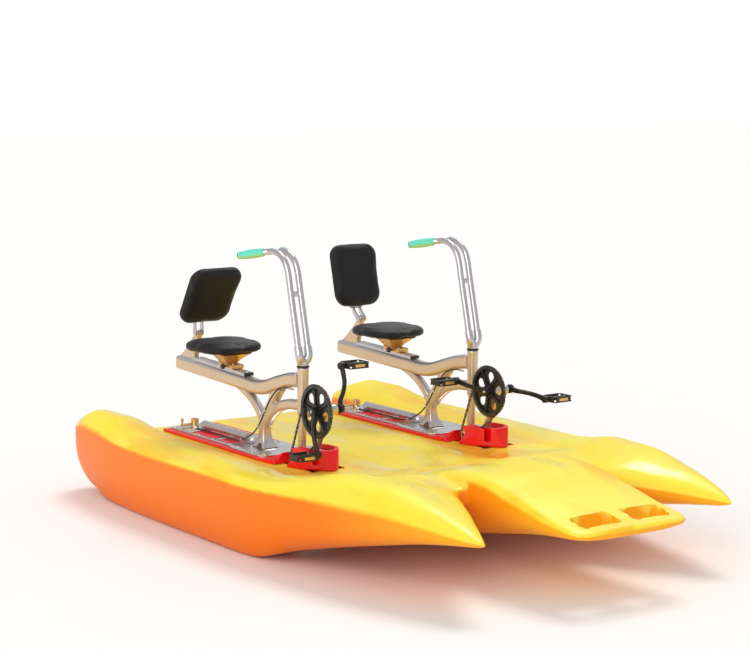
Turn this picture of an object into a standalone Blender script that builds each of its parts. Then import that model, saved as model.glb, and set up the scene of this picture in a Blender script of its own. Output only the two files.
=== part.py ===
"""Two-seat pedal boat: a one-piece three-keel hull that carries two pedal drives side by side.

Metres, +X towards the bow, +Y to port, +Z up.  The origin is on the ground under the middle of
the boat.  Everything on a drive is placed from its bottom bracket axis.
"""
import math

import bmesh
import bpy
from mathutils import Matrix, Vector

# ---------------------------------------------------------------- driving dimensions
GAP = 0.0003                 # clearance between pieces that touch

HULL_LENGTH = 2.85
HULL_BEAM = 1.68
DECK_HEIGHT = 0.295          # flat deck that the drives stand on
DECK_THICKNESS = 0.070
DECK_AFT_EDGE = -1.09
DECK_FORE_EDGE = 0.80
KEEL_FLAT_AFT = -1.00        # the flat run of the side keels
KEEL_FLAT_FORE = 0.10
SIDE_CREASE_HEIGHT = 0.282   # where the hull side meets the top
CENTRE_HALF_WIDTH = 0.270
CENTRE_KEEL_HEIGHT = 0.040
GRAB_HOLE_LENGTH = 0.085
GRAB_HOLE_WIDTH = 0.172
GRAB_HOLE_SETBACK = 0.093    # middle of the grab holes, behind the nose's front edge
GRAB_HOLE_Y = 0.116

DRIVE_SPACING = 0.84
DRIVE_X = 0.11               # bottom bracket, ahead of the middle of the boat
BRACKET_HEIGHT = 0.53        # bottom bracket axis above the keel

BASE_REAR = -1.087
BASE_STRAIGHT_END = -0.32
BASE_STEM = 0.046
BASE_HALF_WIDTH = 0.135
BASE_THICKNESS = 0.012
BASE_WALL = 0.012
BASE_STEM_RISE = 0.080
BASE_STEM_RAKE = 0.030
SWEEP_GAP = 0.0035           # between the base and the turning cranks and pedals
POCKET_HALF_WIDTH = 0.0620
PLATE_THICKNESS = 0.004
WELL_REAR = -0.245
WELL_FRONT = 0.005
WELL_HALF_WIDTH = 0.075

BEAM_HEIGHT = 0.060
BEAM_WIDTH = 0.052
BEAM_REAR = (-1.165, 0.047)
BEAM_STRAIGHT_END = (-0.600, 0.0265)
BEAM_NOSE = (-0.180, 0.095)
FOOT_X = -0.470
COLUMN_WIDTH = 0.044
STRUT_WIDTH = 0.034
FRONT_STRUT_WIDTH = 0.046
ARCH_WIDTH = 0.042
HEAD_X = -0.180
HEAD_RADIUS = 0.0235
HEAD_BORE = 0.0160
HEAD_BOTTOM = -0.045
HEAD_TOP = 0.145
SEAL_HEIGHT = 0.0050
SEAL_RADIUS = 0.0255
STEM_RADIUS = 0.0125

BAR_RADIUS = 0.0125
BAR_SPACING = 0.045
BAR_BRACE_HEIGHT = 0.430
GRIP_RADIUS = 0.0185
GRIP_LENGTH = 0.108
BAR_END = 0.095              # how far the bar runs along the grip's axis

RAIL_LENGTH = 0.425
RAIL_WIDTH = 0.046
RAIL_HEIGHT = 0.014
RAIL_START = 0.150           # behind it stands the backrest arm
CARRIAGE_LENGTH = 0.110
CARRIAGE_HEIGHT = 0.018
SEAT_X = -0.790
SEAT_SIZE = 0.285
SEAT_THICKNESS = 0.044
SEAT_UNDERSIDE = 0.1400

BACK_HINGE = (-1.005, 0.190)
BACK_ARM_WIDTH = 0.026
BACK_PIN_RADIUS = 0.0050
BACK_WIDTH = 0.240
BACK_HEIGHT = 0.282
BACK_THICKNESS = 0.046
BACK_OFFSET = 0.058          # hinge pin to the lower edge of the pad
EAR_THICKNESS = 0.006

SHELL_RADIUS = 0.0220
SHELL_HALF_LENGTH = 0.0360
AXLE_RADIUS = 0.0085
CRANK_LENGTH = 0.170
CRANK_RADIUS = 0.0105
CRANK_HUB_RADIUS = 0.0190
CRANK_HUB_WIDTH = 0.020
CRANK_END_RIGHT = 0.095
CRANK_END_LEFT = 0.108
SPINDLE_RADIUS = 0.0045
BOSS_HALF = 0.0125
PEDAL_WIDTH = 0.096
PEDAL_LENGTH = 0.080
PEDAL_HEIGHT = 0.024

RING_PITCH_RADIUS = 0.100
GUARD_RADIUS = 0.107
SPROCKET_PITCH_RADIUS = 0.028
SPROCKET_CENTRE = (-0.164, -0.205)
CHAIN_PLANE = 0.0505         # distance of the chain from the drive's middle plane, to starboard
CHAIN_WIDTH = 0.0080
CHAIN_HEIGHT = 0.0080

GEARBOX_X = -0.140
GEARBOX_LENGTH = 0.160
GEARBOX_TOP = -0.177
POD_DROP = -0.410            # propeller axis below the bottom bracket
POD_RADIUS = 0.026
POD_REAR = -0.235
PROP_RADIUS = 0.088
PROP_BLADES = 3
PROP_PITCH = math.radians(32.0)

RUDDER_X = -1.045
RUDDER_STOCK_RADIUS = 0.0085
RUDDER_CHORD = 0.190
RUDDER_DEPTH = 0.170
RUDDER_THICKNESS = 0.012
RUDDER_TOP = -0.325
TILLER_REACH = 0.062

TUBE_RADIUS = 0.0165
TUBE_FRONT = -0.600
TUBE_REAR = -0.965
CABLE_RADIUS = 0.0030

DRIVES = (
    # name, side, crank angle from straight down towards the bow, backrest lean forwards
    ("stbd", -1.0, math.radians(24.0), math.radians(33.0)),
    ("port", 1.0, math.radians(-99.0), math.radians(-12.0)),
)

# ---------------------------------------------------------------- derived places
HALF_LENGTH = HULL_LENGTH / 2
HALF_BEAM = HULL_BEAM / 2
GRAB_HOLE_X = HALF_LENGTH - GRAB_HOLE_SETBACK
BASE_UNDERSIDE = DECK_HEIGHT - BRACKET_HEIGHT + GAP
BASE_TOP = BASE_UNDERSIDE + BASE_THICKNESS
PLATE_UNDERSIDE = BASE_TOP + GAP
PLATE_TOP = PLATE_UNDERSIDE + PLATE_THICKNESS
STOCK_TOP = PLATE_TOP + 0.016
BEAM_SLOPE = math.atan2(
    BEAM_STRAIGHT_END[1] - BEAM_REAR[1], BEAM_STRAIGHT_END[0] - BEAM_REAR[0]
)


# ---------------------------------------------------------------- scene helpers
def clear_scene():
    for item in list(bpy.data.objects):
        bpy.data.objects.remove(item, do_unlink=True)


def make_collection(name):
    group = bpy.data.collections.new(name)
    bpy.context.scene.collection.children.link(group)
    return group


def make_material(name, colour, roughness, metallic=0.0):
    material = bpy.data.materials.new(name)
    material.use_nodes = True
    shader = material.node_tree.nodes["Principled BSDF"]
    shader.inputs["Base Color"].default_value = (*colour, 1.0)
    shader.inputs["Roughness"].default_value = roughness
    shader.inputs["Metallic"].default_value = metallic
    return material


clear_scene()
PARTS = make_collection("pedal_boat")
CUTTERS = make_collection("pedal_boat_cutters")
YELLOW = make_material("hull_yellow", (0.95, 0.62, 0.02), 0.35)
RED = make_material("base_red", (0.80, 0.01, 0.01), 0.35)
ALUMINIUM = make_material("satin_aluminium", (0.62, 0.60, 0.57), 0.38, 0.85)
PLATE_STEEL = make_material("plate_steel", (0.66, 0.66, 0.66), 0.30, 0.90)
BRONZE = make_material("bronze", (0.55, 0.38, 0.20), 0.40, 0.85)
BLACK_METAL = make_material("black_metal", (0.02, 0.02, 0.02), 0.35, 0.40)
BLACK_VINYL = make_material("black_vinyl", (0.02, 0.02, 0.022), 0.45)
BLACK_RUBBER = make_material("black_rubber", (0.02, 0.02, 0.02), 0.70)
TURQUOISE = make_material("turquoise_rubber", (0.10, 0.62, 0.52), 0.55)


def place(item, parent, material, location=(0, 0, 0), rotation=(0, 0, 0), helper=False):
    """Puts a finished object in its collection, under its parent, at its place."""
    group = CUTTERS if helper else PARTS
    group.objects.link(item)
    item.parent = parent
    item.location = location
    item.rotation_euler = rotation
    if item.type == "MESH" or item.type == "CURVE":
        item.data.materials.clear()
        item.data.materials.append(material)
    if helper:
        item.hide_render = True
        item.display_type = "WIRE"
    return item


def empty(name, parent=None, location=(0, 0, 0), rotation=(0, 0, 0)):
    item = bpy.data.objects.new(name, None)
    PARTS.objects.link(item)
    item.parent = parent
    item.location = location
    item.rotation_euler = rotation
    return item


def boolean(target, tool, operation):
    step = target.modifiers.new(operation.lower(), "BOOLEAN")
    step.operation = operation
    step.solver = "EXACT"
    step.object = tool


def cut(target, *tools):
    for tool in tools:
        boolean(target, tool, "DIFFERENCE")


def join(target, *tools):
    for tool in tools:
        boolean(target, tool, "UNION")


def new_mesh_object(name, mesh_builder, smooth=True):
    mesh = bpy.data.meshes.new(name)
    shape = bmesh.new()
    mesh_builder(shape)
    shape.to_mesh(mesh)
    shape.free()
    if smooth:
        mesh.shade_smooth()
        mesh.set_sharp_from_angle(angle=math.radians(40))
    return bpy.data.objects.new(name, mesh)


def box(name, low, high, bevel=0.0):
    """A block between two corners, with rounded edges when bevel is set."""
    size = Vector(high) - Vector(low)
    middle = (Vector(high) + Vector(low)) / 2

    def build(shape):
        matrix = Matrix.Translation(middle) @ Matrix.Diagonal((*size, 1.0))
        bmesh.ops.create_cube(shape, size=1.0, matrix=matrix)

    item = new_mesh_object(name, build, smooth=False)
    if bevel:
        edge = item.modifiers.new("round", "BEVEL")
        edge.width = bevel
        edge.segments = 1
    return item


def frustum(name, low_half, high_half, low_z, high_z, middle):
    """A four-sided block that tapers from one rectangle to another."""

    def build(shape):
        made = bmesh.ops.create_cube(shape, size=2.0)
        for vertex in made["verts"]:
            top = vertex.co.z > 0
            half = high_half if top else low_half
            vertex.co.x = middle[0] + vertex.co.x * half[0]
            vertex.co.y = middle[1] + vertex.co.y * half[1]
            vertex.co.z = high_z if top else low_z

    return new_mesh_object(name, build, smooth=False)


def turned(name, profile, steps=20, closed=False):
    """A lathe shape about local Z.  The profile runs down its outer side."""
    mesh = bpy.data.meshes.new(name)
    count = len(profile)
    edges = [(i, i + 1) for i in range(count - 1)]
    if closed:
        edges.append((count - 1, 0))
    mesh.from_pydata([(r, 0.0, z) for r, z in profile], edges, [])
    item = bpy.data.objects.new(name, mesh)
    spin = item.modifiers.new("turn", "SCREW")
    spin.steps = steps
    spin.render_steps = steps
    spin.use_merge_vertices = True
    spin.merge_threshold = 0.00005
    bpy.context.scene.collection.objects.link(item)
    return as_mesh(item)


def rod(name, radius, low, high, steps=14):
    return turned(name, [(0.0, high), (radius, high), (radius, low), (0.0, low)], steps)


def ring(name, outer, inner, low, high, steps=20):
    profile = [(outer, high), (outer, low), (inner, low), (inner, high)]
    return turned(name, profile, steps, closed=True)


def smooth_line(points, pieces=6):
    """Points along a Catmull-Rom curve through the given ones."""
    knots = [Vector(p) for p in points]
    knots = [2 * knots[0] - knots[1], *knots, 2 * knots[-1] - knots[-2]]
    line = []
    for a, b, c, d in zip(knots, knots[1:], knots[2:], knots[3:]):
        for i in range(pieces):
            t = i / pieces
            line.append(
                0.5
                * (
                    2 * b
                    + (c - a) * t
                    + (2 * a - 5 * b + 4 * c - d) * t * t
                    + (3 * b - a - 3 * c + d) * t * t * t
                )
            )
    line.append(knots[-2])
    return line


def curve_data(name, splines, dimensions, closed, radii=None):
    data = bpy.data.curves.new(name, "CURVE")
    data.dimensions = dimensions
    for points in splines:
        spline = data.splines.new("POLY")
        spline.points.add(len(points) - 1)
        for i, (target, point) in enumerate(zip(spline.points, points)):
            target.co = (*point, 1.0)
            if radii:
                target.radius = radii[i]
        spline.use_cyclic_u = closed
    return data


def as_mesh(source):
    """Turns a linked curve or lathe object into a mesh object with welded seams."""
    graph = bpy.context.evaluated_depsgraph_get()
    graph.update()
    mesh = bpy.data.meshes.new_from_object(source.evaluated_get(graph))
    shape = bmesh.new()
    shape.from_mesh(mesh)
    bmesh.ops.remove_doubles(shape, verts=shape.verts, dist=0.00002)
    bmesh.ops.recalc_face_normals(shape, faces=shape.faces)
    shape.to_mesh(mesh)
    shape.free()
    mesh.shade_smooth()
    mesh.set_sharp_from_angle(angle=math.radians(40))
    name = source.name
    matrix = source.matrix_world.copy()
    bpy.data.objects.remove(source, do_unlink=True)
    item = bpy.data.objects.new(name, mesh)
    item.matrix_world = matrix
    return item


def loose_curve(name, data):
    item = bpy.data.objects.new(name, data)
    bpy.context.scene.collection.objects.link(item)
    return item


def tube(name, points, radius, resolution=2, radii=None):
    data = curve_data(name, [points], "3D", False, radii)
    data.bevel_depth = radius
    data.bevel_resolution = resolution
    data.use_fill_caps = True
    return as_mesh(loose_curve(name, data))


def box_tube(name, points, width, height, corner):
    """A rounded rectangular tube along a path in the XZ plane."""
    half_w = width / 2 - corner
    half_h = height / 2 - corner
    outline = []
    for quarter, (sx, sy) in enumerate(((1, 1), (-1, 1), (-1, -1), (1, -1))):
        for i in range(2):
            angle = math.radians(90 * quarter + 90 * i)
            outline.append(
                (
                    sx * half_w + corner * math.cos(angle),
                    sy * half_h + corner * math.sin(angle),
                    0.0,
                )
            )
    section = loose_curve(name + "_section", curve_data(name, [outline], "2D", True))
    data = curve_data(name, [points], "3D", False)
    data.twist_mode = "Z_UP"
    data.bevel_mode = "OBJECT"
    data.bevel_object = section
    data.use_fill_caps = True
    item = as_mesh(loose_curve(name, data))
    bpy.data.objects.remove(section, do_unlink=True)
    return item


def slab(name, outlines, thickness, bevel=0.0, steps=1):
    """A flat piece: the first outline is its edge, the others are its holes."""
    flat = [[(x, y, 0.0) for x, y in outline] for outline in outlines]
    data = curve_data(name, flat, "2D", True)
    data.fill_mode = "BOTH"
    data.extrude = thickness / 2 - bevel
    data.bevel_depth = bevel
    data.bevel_resolution = steps if bevel else 0
    data.offset = -bevel
    return as_mesh(loose_curve(name, data))


def upright(item):
    """Stands a flat piece drawn in (x, z) up in the XZ plane, its thickness along Y."""
    item.data.transform(Matrix.Rotation(math.radians(90), 4, "X"))
    return item


def across(item):
    """Turns a lathe shape so that its axis points to starboard."""
    item.data.transform(Matrix.Rotation(math.radians(90), 4, "X"))
    return item


def shifted(item, x=0.0, y=0.0, z=0.0):
    item.data.transform(Matrix.Translation((x, y, z)))
    return item


def rounded_rectangle(width, height, corner, per_corner=4):
    outline = []
    for quarter, (sx, sy) in enumerate(((1, 1), (-1, 1), (-1, -1), (1, -1))):
        for i in range(per_corner + 1):
            angle = math.radians(90 * quarter + 90 * i / per_corner)
            x = sx * (width / 2 - corner) + corner * math.cos(angle)
            y = sy * (height / 2 - corner) + corner * math.sin(angle)
            outline.append((x, y))
    return outline


# ---------------------------------------------------------------- hull
def line_through(points):
    """A smooth function of x through a few points, flat beyond its ends."""
    xs = [p[0] for p in points]
    ys = [p[1] for p in points]
    steps = [(ys[i + 1] - ys[i]) / (xs[i + 1] - xs[i]) for i in range(len(xs) - 1)]
    slopes = [steps[0]]
    for before, after in zip(steps, steps[1:]):
        slopes.append(0.0 if before * after <= 0 else 2 * before * after / (before + after))
    slopes.append(steps[-1])

    def value(x):
        x = min(max(x, xs[0]), xs[-1])
        i = max(k for k in range(len(xs) - 1) if xs[k] <= x or k == 0)
        span = xs[i + 1] - xs[i]
        t = (x - xs[i]) / span
        return (
            ys[i] * (1 + 2 * t) * (1 - t) ** 2
            + slopes[i] * span * t * (1 - t) ** 2
            + ys[i + 1] * t * t * (3 - 2 * t)
            + slopes[i + 1] * span * t * t * (t - 1)
        )

    return value


def hull_line(points):
    """A hull line drawn in fractions of the half length and of the half beam."""
    return line_through([(x * HALF_LENGTH, y * HALF_BEAM) for x, y in points])


def height_line(points):
    """A height along the hull, over fractions of the half length."""
    return line_through([(x * HALF_LENGTH, z) for x, z in points])


SIDE_OUTER = hull_line(
    [(-1.0, 0.885), (-0.97, 0.915), (-0.84, 0.955), (-0.65, 0.988), (-0.42, 1.0), (0.0, 0.992),
     (0.28, 0.945), (0.53, 0.885), (0.67, 0.832), (0.78, 0.785), (0.87, 0.735), (0.915, 0.692)]
)
SIDE_INNER = hull_line(
    [(-1.0, 0.725), (-0.97, 0.695), (-0.84, 0.672), (-0.5, 0.668), (0.16, 0.668), (0.28, 0.61),
     (0.42, 0.48), (0.55, 0.372), (0.67, 0.455), (0.78, 0.555), (0.87, 0.635), (0.915, 0.676)]
)
SIDE_RIDGE = hull_line(
    [(-1.0, 0.82), (-0.84, 0.855), (-0.5, 0.872), (0.0, 0.87), (0.28, 0.80), (0.42, 0.765),
     (0.56, 0.735), (0.70, 0.71), (0.84, 0.692), (0.915, 0.684)]
)
RIDGE_HEIGHT = height_line(
    [(-1.0, 0.300), (-0.955, 0.335), (-0.86, 0.368), (-0.76, 0.368), (-0.66, 0.340),
     (-0.56, 0.322), (-0.2, 0.320), (0.10, 0.322), (0.25, 0.346), (0.42, 0.382), (0.55, 0.380),
     (0.70, 0.350), (0.84, 0.299), (0.915, 0.2560)]
)
SIDE_CREASE = height_line(
    [(-1.0, 0.270), (-0.9, SIDE_CREASE_HEIGHT), (0.5, SIDE_CREASE_HEIGHT), (0.7, 0.274),
     (0.915, 0.250)]
)
SIDE_KEEL = height_line(
    [(-1.0, 0.130), (-0.965, 0.065), (-0.88, 0.022), (KEEL_FLAT_AFT / HALF_LENGTH, 0.0),
     (KEEL_FLAT_FORE / HALF_LENGTH, 0.0), (0.22, 0.052), (0.42, 0.118), (0.56, 0.160),
     (0.70, 0.200), (0.84, 0.230), (0.915, 0.243)]
)
PANEL_HEIGHT = height_line(
    [(-1.0, DECK_HEIGHT), (0.155, DECK_HEIGHT), (0.28, 0.318), (0.42, 0.366), (0.53, 0.392),
     (0.63, 0.386), (0.70, 0.364), (0.81, 0.332), (0.88, 0.308), (0.94, 0.289), (1.0, 0.268)]
)
BRIDGE_HEIGHT = height_line(
    [(-1.0, DECK_HEIGHT), (0.155, DECK_HEIGHT), (0.28, 0.314), (0.42, 0.340), (0.56, 0.330)]
)
CENTRE_KEEL = height_line(
    [(-0.77, 0.110), (-0.70, CENTRE_KEEL_HEIGHT), (0.14, CENTRE_KEEL_HEIGHT), (0.35, 0.080),
     (0.56, 0.135), (0.70, 0.172), (0.84, 0.204), (0.95, 0.226), (1.0, 0.238)]
)
CENTRE_WIDTH = line_through(
    [(DECK_AFT_EDGE, CENTRE_HALF_WIDTH * 0.92), (-0.9, CENTRE_HALF_WIDTH),
     (0.93 * HALF_LENGTH, CENTRE_HALF_WIDTH), (0.97 * HALF_LENGTH, CENTRE_HALF_WIDTH * 0.975),
     (0.99 * HALF_LENGTH, CENTRE_HALF_WIDTH * 0.90), (HALF_LENGTH, CENTRE_HALF_WIDTH * 0.74)]
)


def rounded(angle, power):
    """Cosine and sine of an angle, drawn out towards the corners of a box."""
    c = math.cos(angle)
    s = math.sin(angle)
    return (
        math.copysign(abs(c) ** (2 / power), c),
        math.copysign(abs(s) ** (2 / power), s),
    )


def side_section(x, count=10):
    """One section of the starboard side hull, as seen from ahead, in (y, z)."""
    crease = SIDE_CREASE(x)
    outer = SIDE_OUTER(x)
    inner = SIDE_INNER(x)
    ridge = SIDE_RIDGE(x)
    keel = SIDE_KEEL(x)
    keel_y = ridge - 0.035 * (ridge - inner) / (outer - inner)
    fullness = 3.2 - 1.1 * min(max((x - 0.2) / 1.0, 0.0), 1.0)
    flatten = 1.06 if KEEL_FLAT_AFT - 0.15 < x < KEEL_FLAT_FORE + 0.20 else 1.0
    points = []
    for i in range(count):
        c, s = rounded(math.pi * i / count, fullness)
        half = outer - keel_y if c > 0 else keel_y - inner
        depth = (crease - keel) * flatten
        points.append((keel_y + half * c, max(crease - depth * s, keel)))
    for i in range(count):
        c, s = rounded(math.pi * (1 + i / count), 1.75)
        half = outer - ridge if c > 0 else ridge - inner
        points.append((ridge + half * c, crease - (RIDGE_HEIGHT(x) - crease) * s))
    return [(-y, z) for y, z in points]


def port_section(x):
    return [(-y, z) for y, z in side_section(x)]


def centre_section(x, count=11):
    """One section of the centre hull in (y, z)."""
    half = CENTRE_WIDTH(x)
    top = PANEL_HEIGHT(x)
    keel = CENTRE_KEEL(x)
    waist = top - 0.40 * min(top - keel, 0.11)
    points = []
    for i in range(count):
        c, s = rounded(math.pi * i / count, 2.8)
        points.append((-half * c, max(waist - (waist - keel) * 1.04 * s, keel)))
    for i in range(count):
        c, s = rounded(math.pi * (1 + i / count), 3.4)
        points.append((-half * c, waist - (top - waist) * s))
    return points


def loft(shape, stations, section):
    """Skins a row of closed sections and caps both ends."""
    rings = []
    for x in stations:
        rings.append([shape.verts.new((x, y, z)) for y, z in section(x)])
    for near, far in zip(rings, rings[1:]):
        count = len(near)
        for i in range(count):
            j = (i + 1) % count
            shape.faces.new((near[i], near[j], far[j], far[i]))
    shape.faces.new(list(reversed(rings[0])))
    shape.faces.new(rings[-1])
    bmesh.ops.recalc_face_normals(shape, faces=shape.faces)


def stations(fractions):
    return [f * HALF_LENGTH for f in fractions]


def between(low, high, places, margin=0.05):
    """The places that lie well inside two ends, which have stations of their own."""
    return [x for x in places if low + margin < x < high - margin]


SIDE_STATIONS = stations(
    [-1.0, -0.985, -0.95, -0.90, -0.84, -0.78, -0.7018, -0.64, -0.56, -0.40, -0.20, 0.0, 0.0702,
     0.16, 0.24, 0.32, 0.40, 0.48, 0.55, 0.61, 0.67, 0.73, 0.79, 0.85, 0.89, 0.915]
)
CENTRE_STATIONS = [DECK_AFT_EDGE + 0.006, DECK_AFT_EDGE + 0.030, *between(
    DECK_AFT_EDGE, HALF_LENGTH + 1.0,
    stations([-0.70, -0.4, -0.1, 0.14, 0.22, 0.30, 0.38, 0.46, 0.54, 0.62, 0.70, 0.78, 0.86, 0.92,
              0.96, 0.985, 1.0]),
)]


def build_bridge(shape):
    """The deck between the hulls: level under the drives, rising towards the bow."""
    reach = 0.70 * HALF_BEAM
    fore = between(0.0, DECK_FORE_EDGE, stations([0.155, 0.22, 0.28, 0.35, 0.42, 0.49]))
    row = [DECK_AFT_EDGE, DECK_AFT_EDGE + 0.02, 0.0, *fore, DECK_FORE_EDGE - 0.02, DECK_FORE_EDGE]

    def section(x):
        top = BRIDGE_HEIGHT(x)
        rise = max(0.0, x / HALF_LENGTH - 0.30) * 0.14
        low = DECK_HEIGHT - DECK_THICKNESS + rise
        at_end = x in (row[0], row[-1])
        inset = 0.014 if at_end else 0.0
        return [(-reach, top - inset), (-reach, low + inset), (reach, low + inset), (reach, top - inset)]

    loft(shape, row, section)


def hull():
    item = new_mesh_object("hull", lambda s: loft(s, SIDE_STATIONS, side_section))
    place(item, None, YELLOW)
    port = new_mesh_object("hull_port_side", lambda s: loft(s, SIDE_STATIONS, port_section))
    place(port, None, YELLOW, helper=True)
    centre = new_mesh_object("hull_centre", lambda s: loft(s, CENTRE_STATIONS, centre_section))
    place(centre, None, YELLOW, helper=True)
    bridge = new_mesh_object("hull_bridge", build_bridge)
    place(bridge, None, YELLOW, helper=True)
    join(item, port, centre, bridge)
    for side in (-1.0, 1.0):
        y = side * GRAB_HOLE_Y
        grab = box(
            "grab_hole_cutter",
            (GRAB_HOLE_X - GRAB_HOLE_LENGTH / 2, y - GRAB_HOLE_WIDTH / 2, 0.1),
            (GRAB_HOLE_X + GRAB_HOLE_LENGTH / 2, y + GRAB_HOLE_WIDTH / 2, 0.5),
        )
        middle = side * DRIVE_SPACING / 2
        well = box(
            "well_cutter",
            (DRIVE_X + WELL_REAR, middle - WELL_HALF_WIDTH, 0.15),
            (DRIVE_X + WELL_FRONT, middle + WELL_HALF_WIDTH, 0.5),
        )
        stock = rod("stock_hole_cutter", RUDDER_STOCK_RADIUS + 0.0012, 0.1, 0.5)
        place(grab, None, YELLOW, helper=True)
        place(well, None, YELLOW, helper=True)
        place(stock, None, YELLOW, (DRIVE_X + RUDDER_X, middle, 0.0), helper=True)
        cut(item, grab, well, stock)
    return item


# ---------------------------------------------------------------- base and frame of a drive
def base_outline(inset=0.0, rear=BASE_REAR, per_side=8):
    """The boat-shaped outline of the base in (x, y)."""
    half = BASE_HALF_WIDTH - inset
    span = BASE_STEM - 2.2 * inset - BASE_STRAIGHT_END
    start = max(0.0, (rear - BASE_STRAIGHT_END) / span)
    side = [(rear, half)] if start == 0.0 else []
    for i in range(per_side + 1):
        t = start + (1 - start) * (1 - (1 - i / per_side) ** 1.6)
        side.append((BASE_STRAIGHT_END + span * t, half * max(0.0, 1 - t**2.2) ** 0.75))
    return [(x, -y) for x, y in side] + side[-2::-1]


def base_front_outline():
    """The base seen from the bow in (y, z): stepped in under the pedals, then tapering past the cranks."""
    pedal_clear = -math.hypot(CRANK_LENGTH + PEDAL_LENGTH / 2, PEDAL_HEIGHT / 2) - SWEEP_GAP
    crank_clear = -CRANK_LENGTH - CRANK_RADIUS - 0.003 - SWEEP_GAP
    pedal_side = CRANK_END_RIGHT + BOSS_HALF - SWEEP_GAP
    crank_side = CRANK_END_RIGHT - BOSS_HALF - SWEEP_GAP
    side = [
        (2 * BASE_HALF_WIDTH, BASE_UNDERSIDE - 0.05),
        (2 * BASE_HALF_WIDTH, pedal_clear),
        (pedal_side, pedal_clear),
        (crank_side, crank_clear),
        (crank_side - 0.006, BASE_UNDERSIDE + BASE_STEM_RISE + 0.02),
    ]
    return side + [(-y, z) for y, z in reversed(side)]


def base_housing(drive):
    height = BASE_STEM_RISE + 0.02
    item = slab(drive["name"] + "_base_housing", [base_outline()], height)
    shifted(item, z=BASE_UNDERSIDE + height / 2)
    place(item, drive["root"], RED)
    profile = [
        (BASE_REAR - 0.02, BASE_UNDERSIDE - 0.02),
        (BASE_STEM + 0.001, BASE_UNDERSIDE - 0.02),
        (BASE_STEM + 0.001, BASE_UNDERSIDE),
        (BASE_STEM - BASE_STEM_RAKE, BASE_UNDERSIDE + BASE_STEM_RISE),
        (BASE_STEM - 0.170, BASE_UNDERSIDE + BASE_STEM_RISE * 0.93),
        (WELL_REAR - 0.045, BASE_TOP),
        (BASE_REAR - 0.02, BASE_TOP),
    ]
    side_view = upright(slab("base_profile", [profile], 2.4 * BASE_HALF_WIDTH))
    place(side_view, drive["root"], RED, helper=True)
    boolean(item, side_view, "INTERSECT")
    front = base_front_outline()
    front_view = upright(slab("base_front_profile", [front], 2 * (BASE_STEM - BASE_REAR)))
    place(front_view, drive["root"], RED, (BASE_REAR, 0, 0), (0, 0, math.radians(90)), helper=True)
    boolean(item, front_view, "INTERSECT")
    pocket = slab("base_pocket", [base_outline(BASE_WALL, WELL_REAR)], 0.5)
    shifted(pocket, z=BASE_UNDERSIDE)
    limit = box(
        "base_pocket_limit", (WELL_REAR - 0.01, -POCKET_HALF_WIDTH, -0.6),
        (WELL_FRONT, POCKET_HALF_WIDTH, 0.2),
    )
    place(pocket, drive["root"], RED, helper=True)
    place(limit, drive["root"], RED, helper=True)
    boolean(pocket, limit, "INTERSECT")
    notch = across(rod("base_notch", SPROCKET_PITCH_RADIUS + 0.016, 0.05, 0.25, 20))
    place(notch, drive["root"], RED, (SPROCKET_CENTRE[0], 0, SPROCKET_CENTRE[1]), helper=True)
    stock = rod("base_stock_hole", RUDDER_STOCK_RADIUS + 0.0012, -0.4, 0.0)
    place(stock, drive["root"], RED, (RUDDER_X, 0, 0), helper=True)
    slot_half = CHAIN_WIDTH / 2 + 0.004
    chain_slot = box(
        "base_chain_slot",
        (-0.100, -CHAIN_PLANE - slot_half, -0.200),
        (WELL_FRONT - 0.004, -CHAIN_PLANE + slot_half, -0.100),
    )
    place(chain_slot, drive["root"], RED, helper=True)
    cut(item, pocket, notch, stock, chain_slot)


def base_plate(drive):
    """The steel plate on the base, with two windows and a cross strip between them."""
    rear = BASE_REAR + 0.008
    front = WELL_REAR - 0.052
    half = BASE_HALF_WIDTH - 0.030
    wide = BASE_HALF_WIDTH - 0.014
    edge = [(rear, half), (-0.600, half), (-0.530, wide), (front - 0.03, wide), (front, wide - 0.04)]
    outline = [(x, -y) for x, y in edge] + edge[::-1]
    windows = []
    for low, high, border in ((-0.930, -0.745, 0.018), (-0.715, -0.610, 0.022)):
        side = half - border
        windows.append([(low, -side), (high, -side), (high, side), (low, side)])
    item = slab(drive["name"] + "_base_plate", [outline, *windows], PLATE_THICKNESS)
    shifted(item, z=PLATE_UNDERSIDE + PLATE_THICKNESS / 2)
    place(item, drive["root"], PLATE_STEEL)
    stock = rod("plate_stock_hole", RUDDER_STOCK_RADIUS + 0.0012, -0.4, 0.0)
    place(stock, drive["root"], RED, (RUDDER_X, 0, 0), helper=True)
    cut(item, stock)


def beam_path():
    """The line of the main beam: straight under the seat, then a dip and up to the head."""
    run = [(BEAM_REAR[0], 0.0, BEAM_REAR[1]), (-0.90, 0.0, beam_centre(-0.90))]
    bend = [
        (BEAM_STRAIGHT_END[0] - 0.08, 0.0, beam_centre(BEAM_STRAIGHT_END[0] - 0.08)),
        (BEAM_STRAIGHT_END[0], 0.0, BEAM_STRAIGHT_END[1]),
        (-0.520, 0.0, 0.0225),
        (-0.440, 0.0, 0.0330),
        (-0.340, 0.0, 0.0640),
        (-0.260, 0.0, 0.0850),
        (BEAM_NOSE[0], 0.0, BEAM_NOSE[1]),
    ]
    return run[:1] + smooth_line(bend, 2)


def beam_centre(x):
    return BEAM_REAR[1] + (x - BEAM_REAR[0]) * math.tan(BEAM_SLOPE)


def head_clearance(drive):
    tool = rod("head_clearance", HEAD_RADIUS + GAP, HEAD_BOTTOM - GAP, HEAD_TOP + 0.1, 20)
    return place(tool, drive["root"], ALUMINIUM, (HEAD_X, 0, 0), helper=True)


def beam_clearance(drive):
    tool = box_tube(
        "beam_clearance", beam_path(), BEAM_WIDTH + 2 * GAP, BEAM_HEIGHT + 2 * GAP, 0.014
    )
    return place(tool, drive["root"], ALUMINIUM, helper=True)


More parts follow.
